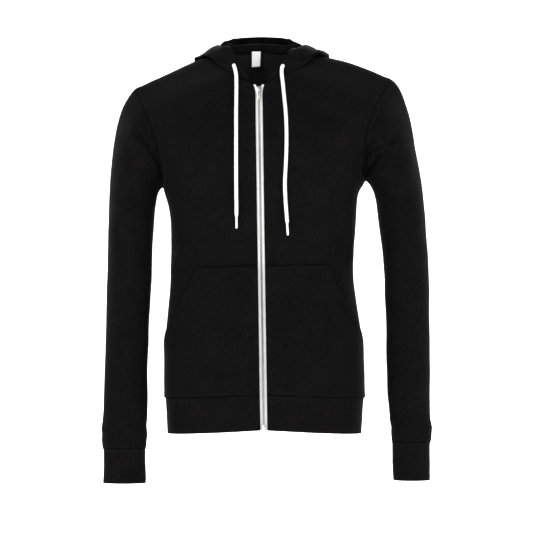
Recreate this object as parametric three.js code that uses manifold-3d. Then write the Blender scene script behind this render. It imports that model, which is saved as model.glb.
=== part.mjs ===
// A zip up hoodie, filled out as if worn and left hollow, in millimetres. Up is +Z and the front faces -Y.
// Left and right are the wearer's, so left is +X. The origin is inside the neck, level with the shoulders.
import * as THREE from 'three';
import { mergeVertices } from 'three/addons/utils/BufferGeometryUtils.js';
import Module from 'manifold-3d';

const manifoldLibrary = await Module();
manifoldLibrary.setup();

// Cloth
const CLOTH = 2.0; // one layer of fleece
const FOLDED_CLOTH = 3.0; // the band and the cuffs, folded double
const SEAM_GAP = 0.3;
const SEAM_ROOM = 12; // how far above the band's seam at the sides its seam reaches at the zip
const HEM_Z = -606; // the seam between the body and the band
const UNDERARM_Z = -222;

// Grid of each panel
const PANEL_COLUMNS = 10; // from a middle line to a side
const ZIP_ROWS = 6; // from the underarm's level to the top of the zip
const FRONT_NECK_ROWS = 6;
const BACK_NECK_ROWS = 7;
const UPPER_ROWS = ZIP_ROWS + FRONT_NECK_ROWS;
const SIDE_POWER = 2.3; // how square the body is, seen from above
const ARMHOLE_TURN_RISES = 0.4; // share of the armhole's height over which that turn is reached
const ARMHOLE_TURN = 55; // degrees that a panel has turned round where it meets the sleeve

// Zip
const ZIP_TOP_Z = -48;
const ZIP_TOP_X = -10; // the zip leans a little, as it hangs
const ZIP_FOOT_X = -1;
const ZIP_FOOT_Z = -661;
const ZIP_SHOWS = 12; // the width of tape and teeth that shows between the fronts
const TAPE_THICK = 1.0;
const TAPE_LIES_OFF = 0.8; // behind the cloth
const TAPE_WIDTH = 13;
const TAPE_MIDDLE_GAP = 0.6;
const TAPE_FLARE = 5; // how far the tape's top end turns aside
const TAPE_FLARE_ROOM = 16; // the height over which it does
const TAPE_FLARE_STEPS = [0.3, 0.55, 0.78]; // shares of the top cell's height where the tape gets a row

// Middle lines
const NECK_MIDDLE_X = -5;
const BACK_MIDDLE_X = -3;

// Body sections, from the foot of the band up to the underarm. right and left are how far the side seams
// stand out, front and back how deep the body is at its middle lines, and rise lifts the middle of the front.
const BODY_SECTIONS = [
  { z: -671, right: 175.5, left: 174.5, front: 113, back: 109, rise: 10 },
  { z: -640, right: 176.5, left: 176.5, front: 115, back: 111, rise: 10 },
  { z: -612, right: 178, left: 178.5, front: 116, back: 112, rise: 9 },
  { z: -606, right: 179, left: 180, front: 117.5, back: 113.5, rise: 9 },
  { z: -594, right: 179, left: 179, front: 119, back: 115, rise: 8 },
  { z: -540, right: 179, left: 177.3, front: 121, back: 118, rise: 5 },
  { z: -504, right: 179, left: 175.5, front: 120, back: 117, rise: 4 },
  { z: -470, right: 176, left: 171, front: 118, back: 113, rise: 2 },
  { z: -432, right: 172, left: 165, front: 115, back: 107, rise: 0 },
  { z: -396, right: 168.5, left: 161, front: 113, back: 102, rise: 0 },
  { z: -351, right: 168, left: 159.5, front: 113, back: 99, rise: 0 },
  { z: -324, right: 168.3, left: 162, front: 115, back: 101, rise: 0 },
  { z: -288, right: 169, left: 165.5, front: 119, back: 106, rise: 0 },
  { z: -252, right: 173.5, left: 167.5, front: 123, back: 112, rise: 0 },
  { z: -234, right: 178.5, left: 172, front: 124.5, back: 115, rise: 0 },
  { z: -222, right: 182, left: 181, front: 125, back: 117, rise: 0 },
  { z: -150, right: 182, left: 181, front: 118, back: 119, rise: 0 },
  { z: -100, right: 182, left: 181, front: 105, back: 112, rise: 0 },
  { z: -48, right: 182, left: 181, front: 80, back: 92, rise: 0 },
  { z: 17, right: 182, left: 181, front: 60, back: 64, rise: 0 },
];
const BODY_LEVELS = [
  -606, -590, -560, -530, -500, -467, -434, -402, -370, -340, -310, -282, -256, -238, -222,
];
const BAND_LEVELS = [-671, -640, -612, -606];

// The shoulder point, the underarm and the armhole's inward bow, for each side
const SIDES = {
  right: { sign: -1, shoulderX: 233, shoulderZ: -50, underarmZ: -232, bow: 10, crown: 1 },
  left: { sign: 1, shoulderX: 229, shoulderZ: -34, underarmZ: -220, bow: 22, crown: 7 },
};
const ARMHOLE_FRONT = 61; // how far the armhole reaches forward of the seams
const ARMHOLE_BACK = 60;
const ARMHOLE_BACK_BOW = 8;
const CHEST_FULLNESS = 9;
const SHOULDER_BLADE_FULLNESS = 11;

// The neckline's seam from the zip, turn 0, round the side at 90 to the middle of the back at 180.
// out is the distance from the neck's middle line.
const NECKLINE = [
  { turn: 0, out: 6, y: -80, z: -48 },
  { turn: 22, out: 31, y: -76, z: -36 },
  { turn: 45, out: 53, y: -61, z: -26 },
  { turn: 67, out: 75, y: -36, z: -14 },
  { turn: 80, out: 86, y: -16, z: -2 },
  { turn: 90, out: 91, y: 0, z: 9 },
  { turn: 115, out: 80, y: 34, z: 15 },
  { turn: 145, out: 48, y: 56, z: 17 },
  { turn: 180, out: 0, y: 64, z: 17 },
];

// The hood, lying back off the head, at the same turns. stand is how far it rises from the seam before it
// turns over, fold is the outer or lower fold, round how wide that fold is, belly how far the outer layer
// bows out, and edge is the hem that would frame the face.
const HOOD_SECTIONS = [
  {
    turn: 0, stand: 1, foldOut: 7, foldY: -81, foldZ: -46, round: 1,
    belly: 0, edgeOut: 8, edgeY: -80, edgeZ: -45,
  },
  {
    turn: 22, stand: 2, foldOut: 29, foldY: -79, foldZ: -33, round: 1,
    belly: 1, edgeOut: 20, edgeY: -78, edgeZ: -30,
  },
  {
    turn: 45, stand: 3, foldOut: 56, foldY: -64, foldZ: -20, round: 2,
    belly: 2, edgeOut: 37, edgeY: -65, edgeZ: -8,
  },
  {
    turn: 67, stand: 4, foldOut: 88, foldY: -39, foldZ: -5, round: 3,
    belly: 3, edgeOut: 50, edgeY: -42, edgeZ: 11,
  },
  {
    turn: 80, stand: 5, foldOut: 106, foldY: -18, foldZ: 0, round: 4,
    belly: 5, edgeOut: 56, edgeY: -16, edgeZ: 24,
  },
  {
    turn: 90, stand: 6, foldOut: 113, foldY: 4, foldZ: 0, round: 4.5,
    belly: 6, edgeOut: 59, edgeY: 12, edgeZ: 32,
  },
  {
    turn: 103, stand: 8, foldOut: 116, foldY: 36, foldZ: -17, round: 5,
    belly: 8, edgeOut: 59, edgeY: 38, edgeZ: 37,
  },
  {
    turn: 116, stand: 9, foldOut: 114, foldY: 68, foldZ: -53, round: 6,
    belly: 11, edgeOut: 54, edgeY: 60, edgeZ: 41,
  },
  {
    turn: 142, stand: 12, foldOut: 93, foldY: 119, foldZ: -142, round: 8,
    belly: 15, edgeOut: 38, edgeY: 90, edgeZ: 47,
  },
  {
    turn: 161, stand: 13, foldOut: 52, foldY: 131, foldZ: -190, round: 9,
    belly: 17, edgeOut: 20, edgeY: 99, edgeZ: 49,
  },
  {
    turn: 180, stand: 13, foldOut: 0, foldY: 134, foldZ: -203, round: 9,
    belly: 18, edgeOut: 0, edgeY: 102, edgeZ: 50,
  },
];
const HOOD_LIES_OFF = 9.4; // the gap between the hood's under layer and what it lies on
const HOOD_ROLL = 3.2; // half the width of the roll that stands on the neck's seam
const HOOD_STARTS_TO_FOLD = 35; // turn at which the hood begins to fold over
const HOOD_FULLY_FOLDED = 88;
const COLLAR_BOW = 4; // how far the hood's standing front bows outwards at most

// Sleeve sections below the armhole: the inner and outer edge seen from the front, the half depth, and how
// far forward the arm hangs
const SLEEVES = {
  right: [
    { inX: 187, inZ: -234, outX: 245, outZ: -66, deep: 62, forward: 0 },
    { inX: 190, inZ: -238, outX: 258, outZ: -92, deep: 62, forward: 0 },
    { inX: 192.5, inZ: -244.5, outX: 267, outZ: -128, deep: 61, forward: 0 },
    { inX: 194, inZ: -254, outX: 273, outZ: -168, deep: 59, forward: 1 },
    { inX: 196, inZ: -268, outX: 277.5, outZ: -214, deep: 57, forward: 2 },
    { inX: 198, inZ: -292, outX: 280, outZ: -262, deep: 54, forward: 3 },
    { inX: 200, inZ: -325, outX: 280.5, outZ: -312, deep: 50, forward: 5 },
    { inX: 202, inZ: -366, outX: 282, outZ: -362, deep: 47, forward: 8 },
    { inX: 204, inZ: -412, outX: 283.5, outZ: -412, deep: 44, forward: 11 },
    { inX: 206.5, inZ: -462, outX: 284.5, outZ: -462, deep: 41, forward: 14 },
    { inX: 208, inZ: -512, outX: 285.5, outZ: -512, deep: 38, forward: 17 },
    { inX: 209.5, inZ: -562, outX: 287, outZ: -562, deep: 35, forward: 20 },
    { inX: 209.5, inZ: -606, outX: 288, outZ: -606, deep: 33, forward: 22 },
    { inX: 210, inZ: -645, outX: 289.5, outZ: -645, deep: 32, forward: 24 },
    { inX: 210, inZ: -676, outX: 291, outZ: -676, deep: 32, forward: 25 },
    { inX: 211.5, inZ: -697, outX: 290, outZ: -697, deep: 30.5, forward: 26 },
  ],
  left: [
    { inX: 186, inZ: -222, outX: 243, outZ: -50, deep: 62, forward: 0 },
    { inX: 190, inZ: -226, outX: 255, outZ: -78, deep: 62, forward: 0 },
    { inX: 194, inZ: -233, outX: 265, outZ: -118, deep: 61, forward: 0 },
    { inX: 198, inZ: -245, outX: 272.5, outZ: -162, deep: 59, forward: 1 },
    { inX: 201.5, inZ: -264, outX: 281, outZ: -210, deep: 57, forward: 2 },
    { inX: 204.5, inZ: -290, outX: 287, outZ: -260, deep: 54, forward: 3 },
    { inX: 210, inZ: -325, outX: 291.5, outZ: -312, deep: 50, forward: 5 },
    { inX: 213.5, inZ: -364, outX: 294.5, outZ: -360, deep: 47, forward: 8 },
    { inX: 215.5, inZ: -410, outX: 296, outZ: -410, deep: 44, forward: 11 },
    { inX: 217, inZ: -460, outX: 296.5, outZ: -460, deep: 41, forward: 14 },
    { inX: 218.5, inZ: -510, outX: 296.5, outZ: -510, deep: 38, forward: 17 },
    { inX: 219.5, inZ: -558, outX: 296.5, outZ: -558, deep: 35, forward: 20 },
    { inX: 221, inZ: -600, outX: 296.5, outZ: -600, deep: 33, forward: 22 },
    { inX: 223.5, inZ: -636, outX: 297, outZ: -636, deep: 32, forward: 24 },
    { inX: 225.5, inZ: -665, outX: 299.5, outZ: -665, deep: 32, forward: 25 },
    { inX: 227, inZ: -685, outX: 298.5, outZ: -685, deep: 30.5, forward: 26 },
  ],
};
const CUFFS = {
  right: [
    { inX: 213, inZ: -701, outX: 288, outZ: -701, deep: 28.5, forward: 26 },
    { inX: 212.5, inZ: -730, outX: 288.5, outZ: -730, deep: 28, forward: 27 },
    { inX: 212, inZ: -759, outX: 289, outZ: -759, deep: 28, forward: 28 },
  ],
  left: [
    { inX: 228, inZ: -689, outX: 296.5, outZ: -689, deep: 28.5, forward: 26 },
    { inX: 229, inZ: -722, outX: 296.5, outZ: -722, deep: 28, forward: 27 },
    { inX: 230.5, inZ: -754, outX: 296.5, outZ: -754, deep: 28, forward: 28 },
  ],
};
const ARMHOLE_SHAPE_FADES = 6; // sections over which the armhole's own bow dies out down the sleeve

// The largest creases, as soft troughs along a line seen from the front. face is -1 on the front, 1 on the
// back; a negative depth is a ridge.
const CREASES = [
  { face: -1, x0: -200, z0: -132, x1: -168, z1: -205, wide: 15, deep: 5 },
  { face: -1, x0: 236, z0: -142, x1: 186, z1: -200, wide: 15, deep: 5 },
  { face: -1, x0: 121, z0: -270, x1: 140, z1: -358, wide: 17, deep: 4 },
  { face: -1, x0: 146, z0: -268, x1: 158, z1: -360, wide: 14, deep: -3 },
  { face: -1, x0: -132, z0: -322, x1: -160, z1: -392, wide: 17, deep: -3 },
  { face: -1, x0: -262, z0: -300, x1: -244, z1: -362, wide: 15, deep: 3.5 },
  { face: -1, x0: 232, z0: -395, x1: 280, z1: -432, wide: 16, deep: 3 },
  { face: 1, x0: -120, z0: -240, x1: -60, z1: -330, wide: 26, deep: 4 },
  { face: 1, x0: 118, z0: -250, x1: 66, z1: -350, wide: 24, deep: 4 },
  { face: 1, x0: -40, z0: -372, x1: 50, z1: -392, wide: 22, deep: 4 },
  { face: 1, x0: -262, z0: -395, x1: -220, z1: -430, wide: 16, deep: 3 },
  { face: 1, x0: 250, z0: -370, x1: 285, z1: -410, wide: 16, deep: 3 },
];

const CREASE_FADES = 30; // creases die out this near the side seams

// Pockets
const POCKET_TOP_Z = -370;
const POCKET_LIES_OFF = 0.5;
const POCKET_GAPES = 2.5; // how far the hand opening stands off the front
const GAPE_ROOM = 30; // the height over which the opening's two ends lie back down
const POCKET_CORNER_Z = -378; // where the hand opening starts, at the end of the top seam
const POCKET_CORNER_COLUMN = 4.5;
const POCKET_SIDE_Z = -511; // where it runs into the side seam
const POCKET_SIDE_COLUMN = 9.8;
const POCKET_BOW = 0.35; // columns that the hand opening bows inwards

// Slider, pull tab and retaining box
const SLIDER_Z = -58;
const SLIDER_LONG = 12.5;
const SLIDER_WIDE = 10.5;
const SLIDER_WAIST = 8;
const SLIDER_PLATE = 1.6;
const SLIDER_SLOT = TAPE_THICK + 2 * SEAM_GAP;
const SLIDER_POST = 2.2;
const POST_INSET = 0.4;
const BAIL_WIDE = 2.2;
const BAIL_LONG = 6.4;
const BAIL_HIGH = 3.6;
const BAIL_THICK = 1.1;
const BAIL_SUNK = 0.4; // how deep the bail's feet go into the plate
const BAIL_UP = -1.4; // the bail's middle, above the slider's middle
const PULL_WIDE = 6.4;
const PULL_LONG = 20;
const PULL_THICK = 1.2;
const PULL_BAR = 1.2;
const PULL_WINDOW_WIDE = 3.4;
const PULL_WINDOW_LONG = 5.4;
const PULL_EYE = 1.0; // radius of the small hole near the pull's end
const PULL_CLEAR = 0.3; // from the plate to the pull, hanging down
const PULL_Y = -SEAM_GAP - SLIDER_PLATE - PULL_CLEAR - PULL_THICK / 2;
const PULL_Z = BAIL_UP - BAIL_LONG / 2 + BAIL_THICK + PULL_BAR;
const ZIP_BOX_WIDE = 7;
const ZIP_BOX_LONG = 11;
const ZIP_BOX_THICK = 2.6;

// Label and cords
const LABEL_WIDE = 17.5;
const LABEL_LONG = 30;
const LABEL_THICK = 1.0;
const LABEL_X = -15;
const LABEL_LIES_OFF = 3; // from the cloth to the label's middle, because the neck is curved
const CORD_WIDE = 6.6;
const CORD_HALF_SIDES = 4; // sides in half of its round section
const CORD_STEPS = 24;

const COLOURS = {
  fleece: { color: 0x17171a, roughness: 0.95, metalness: 0 },
  rib: { color: 0x18181b, roughness: 0.95, metalness: 0 },
  tape: { color: 0xe9e9e6, roughness: 0.85, metalness: 0 },
  cord: { color: 0xf3f3f1, roughness: 0.8, metalness: 0 },
  label: { color: 0xf6f6f4, roughness: 0.7, metalness: 0 },
  nickel: { color: 0xb9b6ae, roughness: 0.3, metalness: 1 },
};

const UP = new THREE.Vector3(0, 0, 1);
const vec = (x, y, z) => new THREE.Vector3(x, y, z);
const blend = (a, b, share) => a + (b - a) * share;
const smooth = (share) => THREE.MathUtils.smoothstep(share, 0, 1);

// A row of a table at any value of its key column, with every other column on a smooth curve
function tableAt(table, key, value) {
  const rising = table[table.length - 1][key] > table[0][key];
  let i = 0;
  while (i < table.length - 2 && (table[i + 1][key] < value) === rising) i += 1;
  const before = table[Math.max(i - 1, 0)];
  const a = table[i];
  const b = table[i + 1];
  const after = table[Math.min(i + 2, table.length - 1)];
  const share = THREE.MathUtils.clamp((value - a[key]) / (b[key] - a[key]), 0, 1);
  const slope = (lo, mid, hi, column) => {
    const left = mid[key] - lo[key] === 0 ? 0 : (mid[column] - lo[column]) / (mid[key] - lo[key]);
    const right = hi[key] - mid[key] === 0 ? 0 : (hi[column] - mid[column]) / (hi[key] - mid[key]);
    return left * right <= 0 ? 0 : (2 * left * right) / (left + right);
  };
  const row = {};
  for (const column of Object.keys(a)) {
    const run = b[key] - a[key];
    const inward = slope(before, a, b, column) * run;
    const outward = slope(a, b, after, column) * run;
    const s2 = share * share;
    const s3 = s2 * share;
    row[column] =
      (2 * s3 - 3 * s2 + 1) * a[column] +
      (s3 - 2 * s2 + share) * inward +
      (3 * s2 - 2 * s3) * b[column] +
      (s3 - s2) * outward;
  }
  row[key] = value;
  return row;
}

// A sheet of cloth without thickness: points that are shared where they coincide, and faces that turn
// anticlockwise seen from outside
class Sheet {
  constructor() {
    this.points = [];
    this.faces = [];
    this.places = new Map();
  }

  point(position) {
    const key = placeKey(position);
    if (!this.places.has(key)) {
      this.places.set(key, this.points.length);
      this.points.push(position.clone());
    }
    return this.places.get(key);
  }

  face(corners, flip) {
    const ring = corners.filter((corner, i) => corner !== corners[(i + 1) % corners.length]);
    if (ring.length > 2) this.faces.push(flip ? ring.reverse() : ring);
  }

  grid(rows, flip, closed = false) {
    for (let i = 0; i + 1 < rows.length; i += 1) {
      const count = closed ? rows[i].length : rows[i].length - 1;
      for (let k = 0; k < count; k += 1) {
        const next = (k + 1) % rows[i].length;
        const corners = [rows[i][k], rows[i][next], rows[i + 1][next], rows[i + 1][k]];
        this.face(corners.map((corner) => this.point(corner)), flip);
      }
    }
    return this;
  }

  faceNormal(face) {
    const sum = vec(0, 0, 0);
    for (let i = 1; i + 1 < face.length; i += 1) {
      const along = this.points[face[i]].clone().sub(this.points[face[0]]);
      const across = this.points[face[i + 1]].clone().sub(this.points[face[0]]);
      sum.add(along.cross(across));
    }
    return sum;
  }
}

function placeKey(position) {
  return [position.x, position.y, position.z].map((value) => Math.round(value * 200)).join(' ');
}

// One outward direction for each place, shared by all the sheets that meet there, so that the walls of two
// pieces end side by side at their seam
function sharedNormals(sheets) {
  const normals = new Map();
  for (const sheet of sheets) {
    for (const face of sheet.faces) {
      const normal = sheet.faceNormal(face);
      for (const corner of face) {
        const key = placeKey(sheet.points[corner]);
        if (!normals.has(key)) normals.set(key, vec(0, 0, 0));
        normals.get(key).add(normal);
      }
    }
  }
  for (const normal of normals.values()) normal.normalize();
  return normals;
}

function normalsOf(sheet, normals) {
  return sheet.points.map((position) => normals.get(placeKey(position)));
}

// Directed edges that only one face has: the rim of the sheet
function rimEdges(sheet) {
  const seen = new Map();
  for (const face of sheet.faces) {
    face.forEach((from, i) => {
      const to = face[(i + 1) % face.length];
      seen.set(`${from} ${to}`, { from, to, face });
    });
  }
  return [...seen.values()].filter((edge) => !seen.has(`${edge.to} ${edge.from}`));
}

// A closed wall from a sheet: its outer points drawn back from the seams by half the gap, the same points
// moved in by the cloth's thickness, and a rim between them. Neighbours split it along the same diagonal.
function wall(sheet, normals, thickness, drawBack = SEAM_GAP / 2) {
  const rim = rimEdges(sheet);
  const inwards = new Map();
  for (const edge of rim) {
    const along = sheet.points[edge.to].clone().sub(sheet.points[edge.from]);
    const inward = sheet.faceNormal(edge.face).cross(along).normalize();
    for (const corner of [edge.from, edge.to]) {
      if (!inwards.has(corner)) inwards.set(corner, []);
      inwards.get(corner).push(inward);
    }
  }
  const outer = sheet.points.map((position, i) => {
    const moved = position.clone();
    if (inwards.has(i)) {
      const [first, second = first] = inwards.get(i);
      const mitre = first.clone().add(second);
      moved.addScaledVector(mitre, drawBack / Math.max(1 + first.dot(second), 0.5));
    }
    return moved;
  });
  const inner = outer.map((position, i) => position.clone().addScaledVector(normals[i], -thickness));
  const count = outer.length;
  const triangles = [];
  const fan = (face) => {
    for (let i = 1; i + 1 < face.length; i += 1) triangles.push(face[0], face[i], face[i + 1]);
  };
  for (const face of sheet.faces) {
    fan(face);
    const [first, ...others] = face;
    fan([first, ...others.reverse()].map((corner) => corner + count));
  }
  for (const { from, to } of rim) {
    const ring = [to, from, from + count, to + count];
    const sameWay = placeKey(sheet.points[from]) < placeKey(sheet.points[to]);
    fan(sameWay ? ring : [...ring.slice(1), ring[0]]);
  }
  return solidGeometry([...outer, ...inner], triangles);
}

function solidGeometry(points, triangles) {
  const geometry = new THREE.BufferGeometry();
  const numbers = new Float32Array(points.flatMap((position) => position.toArray()));
  geometry.setAttribute('position', new THREE.BufferAttribute(numbers, 3));
  geometry.setIndex(triangles);
  return geometry;
}

function piece(name, geometry, finish) {
  const mesh = new THREE.Mesh(geometry, new THREE.MeshStandardMaterial(COLOURS[finish]));
  mesh.name = name;
  return mesh;
}

// The middle of the zip at a height
function zipX(z) {
  return blend(ZIP_TOP_X, ZIP_FOOT_X, (z - ZIP_TOP_Z) / (ZIP_FOOT_Z - ZIP_TOP_Z));
}

function neckMiddleX(turn) {
  return blend(ZIP_TOP_X, NECK_MIDDLE_X, smooth(turn / 90));
}

function necklinePoint(side, turn) {
  const seam = tableAt(NECKLINE, 'turn', turn);
  return vec(neckMiddleX(turn) + side.sign * seam.out, seam.y, seam.z);
}

// The middle line of the front or back at a height
function middlePoint(side, face, z) {
  const section = tableAt(BODY_SECTIONS, 'z', z);
  if (face === 'front') {
    return vec(zipX(z) + (side.sign * ZIP_SHOWS) / 2, -section.front, z + section.rise);
  }
  return vec(blend(BACK_MIDDLE_X, NECK_MIDDLE_X, smooth((z - UNDERARM_Z) / -UNDERARM_Z)), section.back, z);
}

// The armhole's seam, from the shoulder point at 0 to the underarm at 1
function armholePoint(sideName, face, share) {
  const side = SIDES[sideName];
  const underarmX = tableAt(BODY_SECTIONS, 'z', UNDERARM_Z)[sideName];
  const bulge = Math.sin(Math.PI * share) ** 0.8;
  const bow = face === 'front' ? side.bow : ARMHOLE_BACK_BOW;
  const reach = face === 'front' ? -ARMHOLE_FRONT : ARMHOLE_BACK;
  return vec(
    side.sign * (blend(side.shoulderX, underarmX, share) - bow * bulge),
    reach * bulge,
    blend(side.shoulderZ, side.underarmZ, share),
  );
}

// The two ends of each row of half a panel, from a middle line or the neckline out to the side or armhole
function bodyRow(sideName, face, level) {
  const side = SIDES[sideName];
  const section = tableAt(BODY_SECTIONS, 'z', level);
  const lift = (side.underarmZ - UNDERARM_Z) * Math.max(0, (level - HEM_Z) / (UNDERARM_Z - HEM_Z));
  const outer = vec(side.sign * section[sideName], 0, level + lift);
  return { inner: middlePoint(side, face, level), outer, turn: 90, above: 0 };
}

function upperRow(sideName, face, step) {
  const side = SIDES[sideName];
  const neckRows = face === 'front' ? FRONT_NECK_ROWS : BACK_NECK_ROWS;
  const straightRows = UPPER_ROWS - neckRows;
  const topZ = face === 'front' ? ZIP_TOP_Z : NECKLINE[NECKLINE.length - 1].z;
  const share = step / UPPER_ROWS;
  let inner;
  if (step <= straightRows) {
    inner = middlePoint(side, face, blend(UNDERARM_Z, topZ, step / straightRows));
  }
  if (step >= straightRows) {
    const along = (step - straightRows) / neckRows;
    inner = necklinePoint(side, face === 'front' ? 90 * along : 180 - 90 * along);
  }
  const turn = blend(90, ARMHOLE_TURN, smooth(share / ARMHOLE_TURN_RISES));
  return { inner, outer: armholePoint(sideName, face, 1 - share), turn, above: share };
}

function rowPoints(row, face, crown) {
  const power = 2 / SIDE_POWER;
  const most = THREE.MathUtils.degToRad(row.turn);
  const fullness = face === 'front' ? -CHEST_FULLNESS : SHOULDER_BLADE_FULLNESS;
  const points = [];
  for (let k = 0; k <= PANEL_COLUMNS; k += 1) {
    const angle = (most * k) / PANEL_COLUMNS;
    const across = (Math.sin(angle) / Math.sin(most)) ** power;
    const depth = ((Math.cos(angle) - Math.cos(most)) / (1 - Math.cos(most))) ** power;
    const swell = Math.sin(Math.PI * across) * Math.sin(Math.PI * row.above);
    points.push(vec(
      blend(row.inner.x, row.outer.x, across),
      blend(row.outer.y, row.inner.y, depth) + fullness * swell,
      blend(row.inner.z, row.outer.z, across) + crown * Math.sin(Math.PI * across) * row.above ** 3,
    ));
  }
  return points;
}

function halfPanel(sideName, face) {
  const rows = BODY_LEVELS.map((level) => bodyRow(sideName, face, level));
  for (let step = 1; step <= UPPER_ROWS; step += 1) rows.push(upperRow(sideName, face, step));
  return rows.map((row) => rowPoints(row, face, SIDES[sideName].crown));
}

function bandRows(sideName, face) {
  return BAND_LEVELS.map((level) => rowPoints(bodyRow(sideName, face, level), face, 0));
}

const turnedOver = (sideName, face) => (SIDES[sideName].sign < 0) !== (face === 'back');

// Sleeves: each section is an oval between the inner and outer edge, seen from the front, and the armhole's
// own shape dies out over the first sections
function ovalPoint(side, section, angle) {
  const inner = vec(side.sign * section.inX, -section.forward, section.inZ);
  const outer = vec(side.sign * section.outX, -section.forward, section.outZ);
  const position = inner.clone().add(outer).multiplyScalar(0.5);
  position.addScaledVector(outer.clone().sub(inner), Math.cos(angle) / 2);
  position.y -= section.deep * Math.sin(angle);
  return position;
}

function sleeveRings(sideName) {
  const side = SIDES[sideName];
  const underarmX = tableAt(BODY_SECTIONS, 'z', UNDERARM_Z)[sideName];
  const count = 2 * UPPER_ROWS;
  const top = {
    inX: underarmX,
    inZ: side.underarmZ,
    outX: side.shoulderX,
    outZ: side.shoulderZ,
    deep: (ARMHOLE_FRONT + ARMHOLE_BACK) / 2,
    forward: 0,
  };
  const armhole = [];
  const angles = [];
  for (let i = 0; i < count; i += 1) {
    const share = i / UPPER_ROWS;
    const onFront = share <= 1;
    const down = onFront ? share : 2 - share;
    armhole.push(armholePoint(sideName, onFront ? 'front' : 'back', down));
    const even = Math.acos(1 - 2 * down);
    angles.push(onFront ? even : 2 * Math.PI - even);
  }
  const rings = [armhole];
  const own = armhole.map((position, i) => position.clone().sub(ovalPoint(side, top, angles[i])));
  [...SLEEVES[sideName], ...CUFFS[sideName]].forEach((section, k) => {
    const fade = 1 - smooth((k + 1) / ARMHOLE_SHAPE_FADES);
    const ease = smooth((k + 1) / ARMHOLE_SHAPE_FADES);
    rings.push(angles.map((angle, i) => {
      const evenly = blend(angle, (2 * Math.PI * i) / count, ease);
      return ovalPoint(side, section, evenly).addScaledVector(own[i], fade);
    }));
  });
  return rings;
}

// Moves a place off the nearest spot of the sheets, along the cloth's outward direction there
function liftedClear(position, sheets, gap) {
  let nearest = Infinity;
  let lifted = position;
  for (const sheet of sheets) {
    for (const face of sheet.faces) {
      for (let i = 1; i + 1 < face.length; i += 1) {
        const corners = [face[0], face[i], face[i + 1]].map((index) => sheet.points[index]);
        const triangle = new THREE.Triangle(...corners);
        const spot = triangle.closestPointToPoint(position, vec(0, 0, 0));
        const distance = spot.distanceTo(position);
        if (distance >= nearest) continue;
        const outward = triangle.getNormal(vec(0, 0, 0));
        nearest = distance;
        const clear = position.clone().sub(spot).dot(outward) >= gap;
        lifted = clear ? position : spot.addScaledVector(outward, gap);
      }
    }
  }
  return lifted;
}

function hoodSection(sideName, turn, body) {
  const side = SIDES[sideName];
  const shape = tableAt(HOOD_SECTIONS, 'turn', turn);
  const middle = neckMiddleX(turn);
  const seam = necklinePoint(side, turn);
  const edge = vec(middle + side.sign * shape.edgeOut, shape.edgeY, shape.edgeZ);
  const shoulder = side.crown * Math.sin(THREE.MathUtils.degToRad(turn));
  const fold = vec(middle + side.sign * shape.foldOut, shape.foldY, shape.foldZ + shoulder);
  const out = vec(fold.x - seam.x, fold.y - seam.y, 0).normalize();
  const at = (from, outwards, upwards) => (
    from.clone().addScaledVector(out, outwards).addScaledVector(UP, upwards)
  );
  const stood = [0, 1, 2].map((n) => at(seam, n * HOOD_ROLL, shape.stand * (n === 1 ? 1 : 0.6)));
  const foldIn = at(fold, -2 * shape.round, shape.round * 1.1);
  const foldUnder = at(fold, -shape.round, 0);
  const foldOut = at(fold, 0, shape.round * 1.3);
  const under = [1, 2, 3, 4].map((n) => stood[2].clone().lerp(foldIn, n / 5));
  const over = [1, 2, 3].map((n) => {
    const bow = Math.sin((Math.PI * n) / 4) * shape.belly;
    return at(foldOut.clone().lerp(edge, n / 4), bow * 0.8, bow * 0.6);
  });
  const folded = [seam, ...stood, ...under, foldIn, foldUnder, foldOut, ...over, edge];
  const last = folded.length - 1;
  const share = smooth((turn - HOOD_STARTS_TO_FOLD) / (HOOD_FULLY_FOLDED - HOOD_STARTS_TO_FOLD));
  return folded.map((position, n) => {
    const plain = seam.clone().lerp(edge, n / last);
    const bulge = Math.sin((Math.PI * n) / last) * Math.min(COLLAR_BOW, seam.distanceTo(edge) / 8);
    plain.addScaledVector(out, bulge);
    if (turn === 0) return n * 2 <= last ? seam : edge;
    const placed = plain.lerp(position, n === 0 || n === last ? 0 : share);
    return n > 2 && share > 0 ? liftedClear(placed, body, HOOD_LIES_OFF * share) : placed;
  });
}

function hoodSheet(sideName, body) {
  const turns = [];
  for (let i = 0; i <= FRONT_NECK_ROWS; i += 1) turns.push((90 * i) / FRONT_NECK_ROWS);
  for (let i = 1; i <= BACK_NECK_ROWS; i += 1) turns.push(90 + (90 * i) / BACK_NECK_ROWS);
  const columns = turns.map((turn) => hoodSection(sideName, turn, body));
  const rows = columns[0].map((_, n) => columns.map((column) => column[n]));
  return new Sheet().grid(rows, turnedOver(sideName, 'front'));
}

// Creases push the cloth in along its own outward direction, and fade out towards their ends
function creaseDepth(position) {
  let depth = 0;
  for (const crease of CREASES) {
    const from = vec(crease.x0, 0, crease.z0);
    const line = vec(crease.x1, 0, crease.z1).sub(from);
    const offset = vec(position.x, 0, position.z).sub(from);
    const along = THREE.MathUtils.clamp(offset.dot(line) / line.lengthSq(), 0, 1);
    const away = offset.addScaledVector(line, -along).length();
    const facing = smooth((crease.face * position.y) / CREASE_FADES);
    depth += crease.deep * Math.exp(-((away / crease.wide) ** 2)) * facing;
  }
  return depth;
}

function creased(sheets) {
  const normals = sharedNormals(sheets);
  return sheets.map((sheet) => {
    const moved = new Sheet();
    const directions = normalsOf(sheet, normals);
    moved.points = sheet.points.map((position, i) => (
      position.clone().addScaledVector(directions[i], -creaseDepth(position))
    ));
    moved.points.forEach((position, i) => moved.places.set(placeKey(position), i));
    moved.faces = sheet.faces;
    return moved;
  });
}

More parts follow.
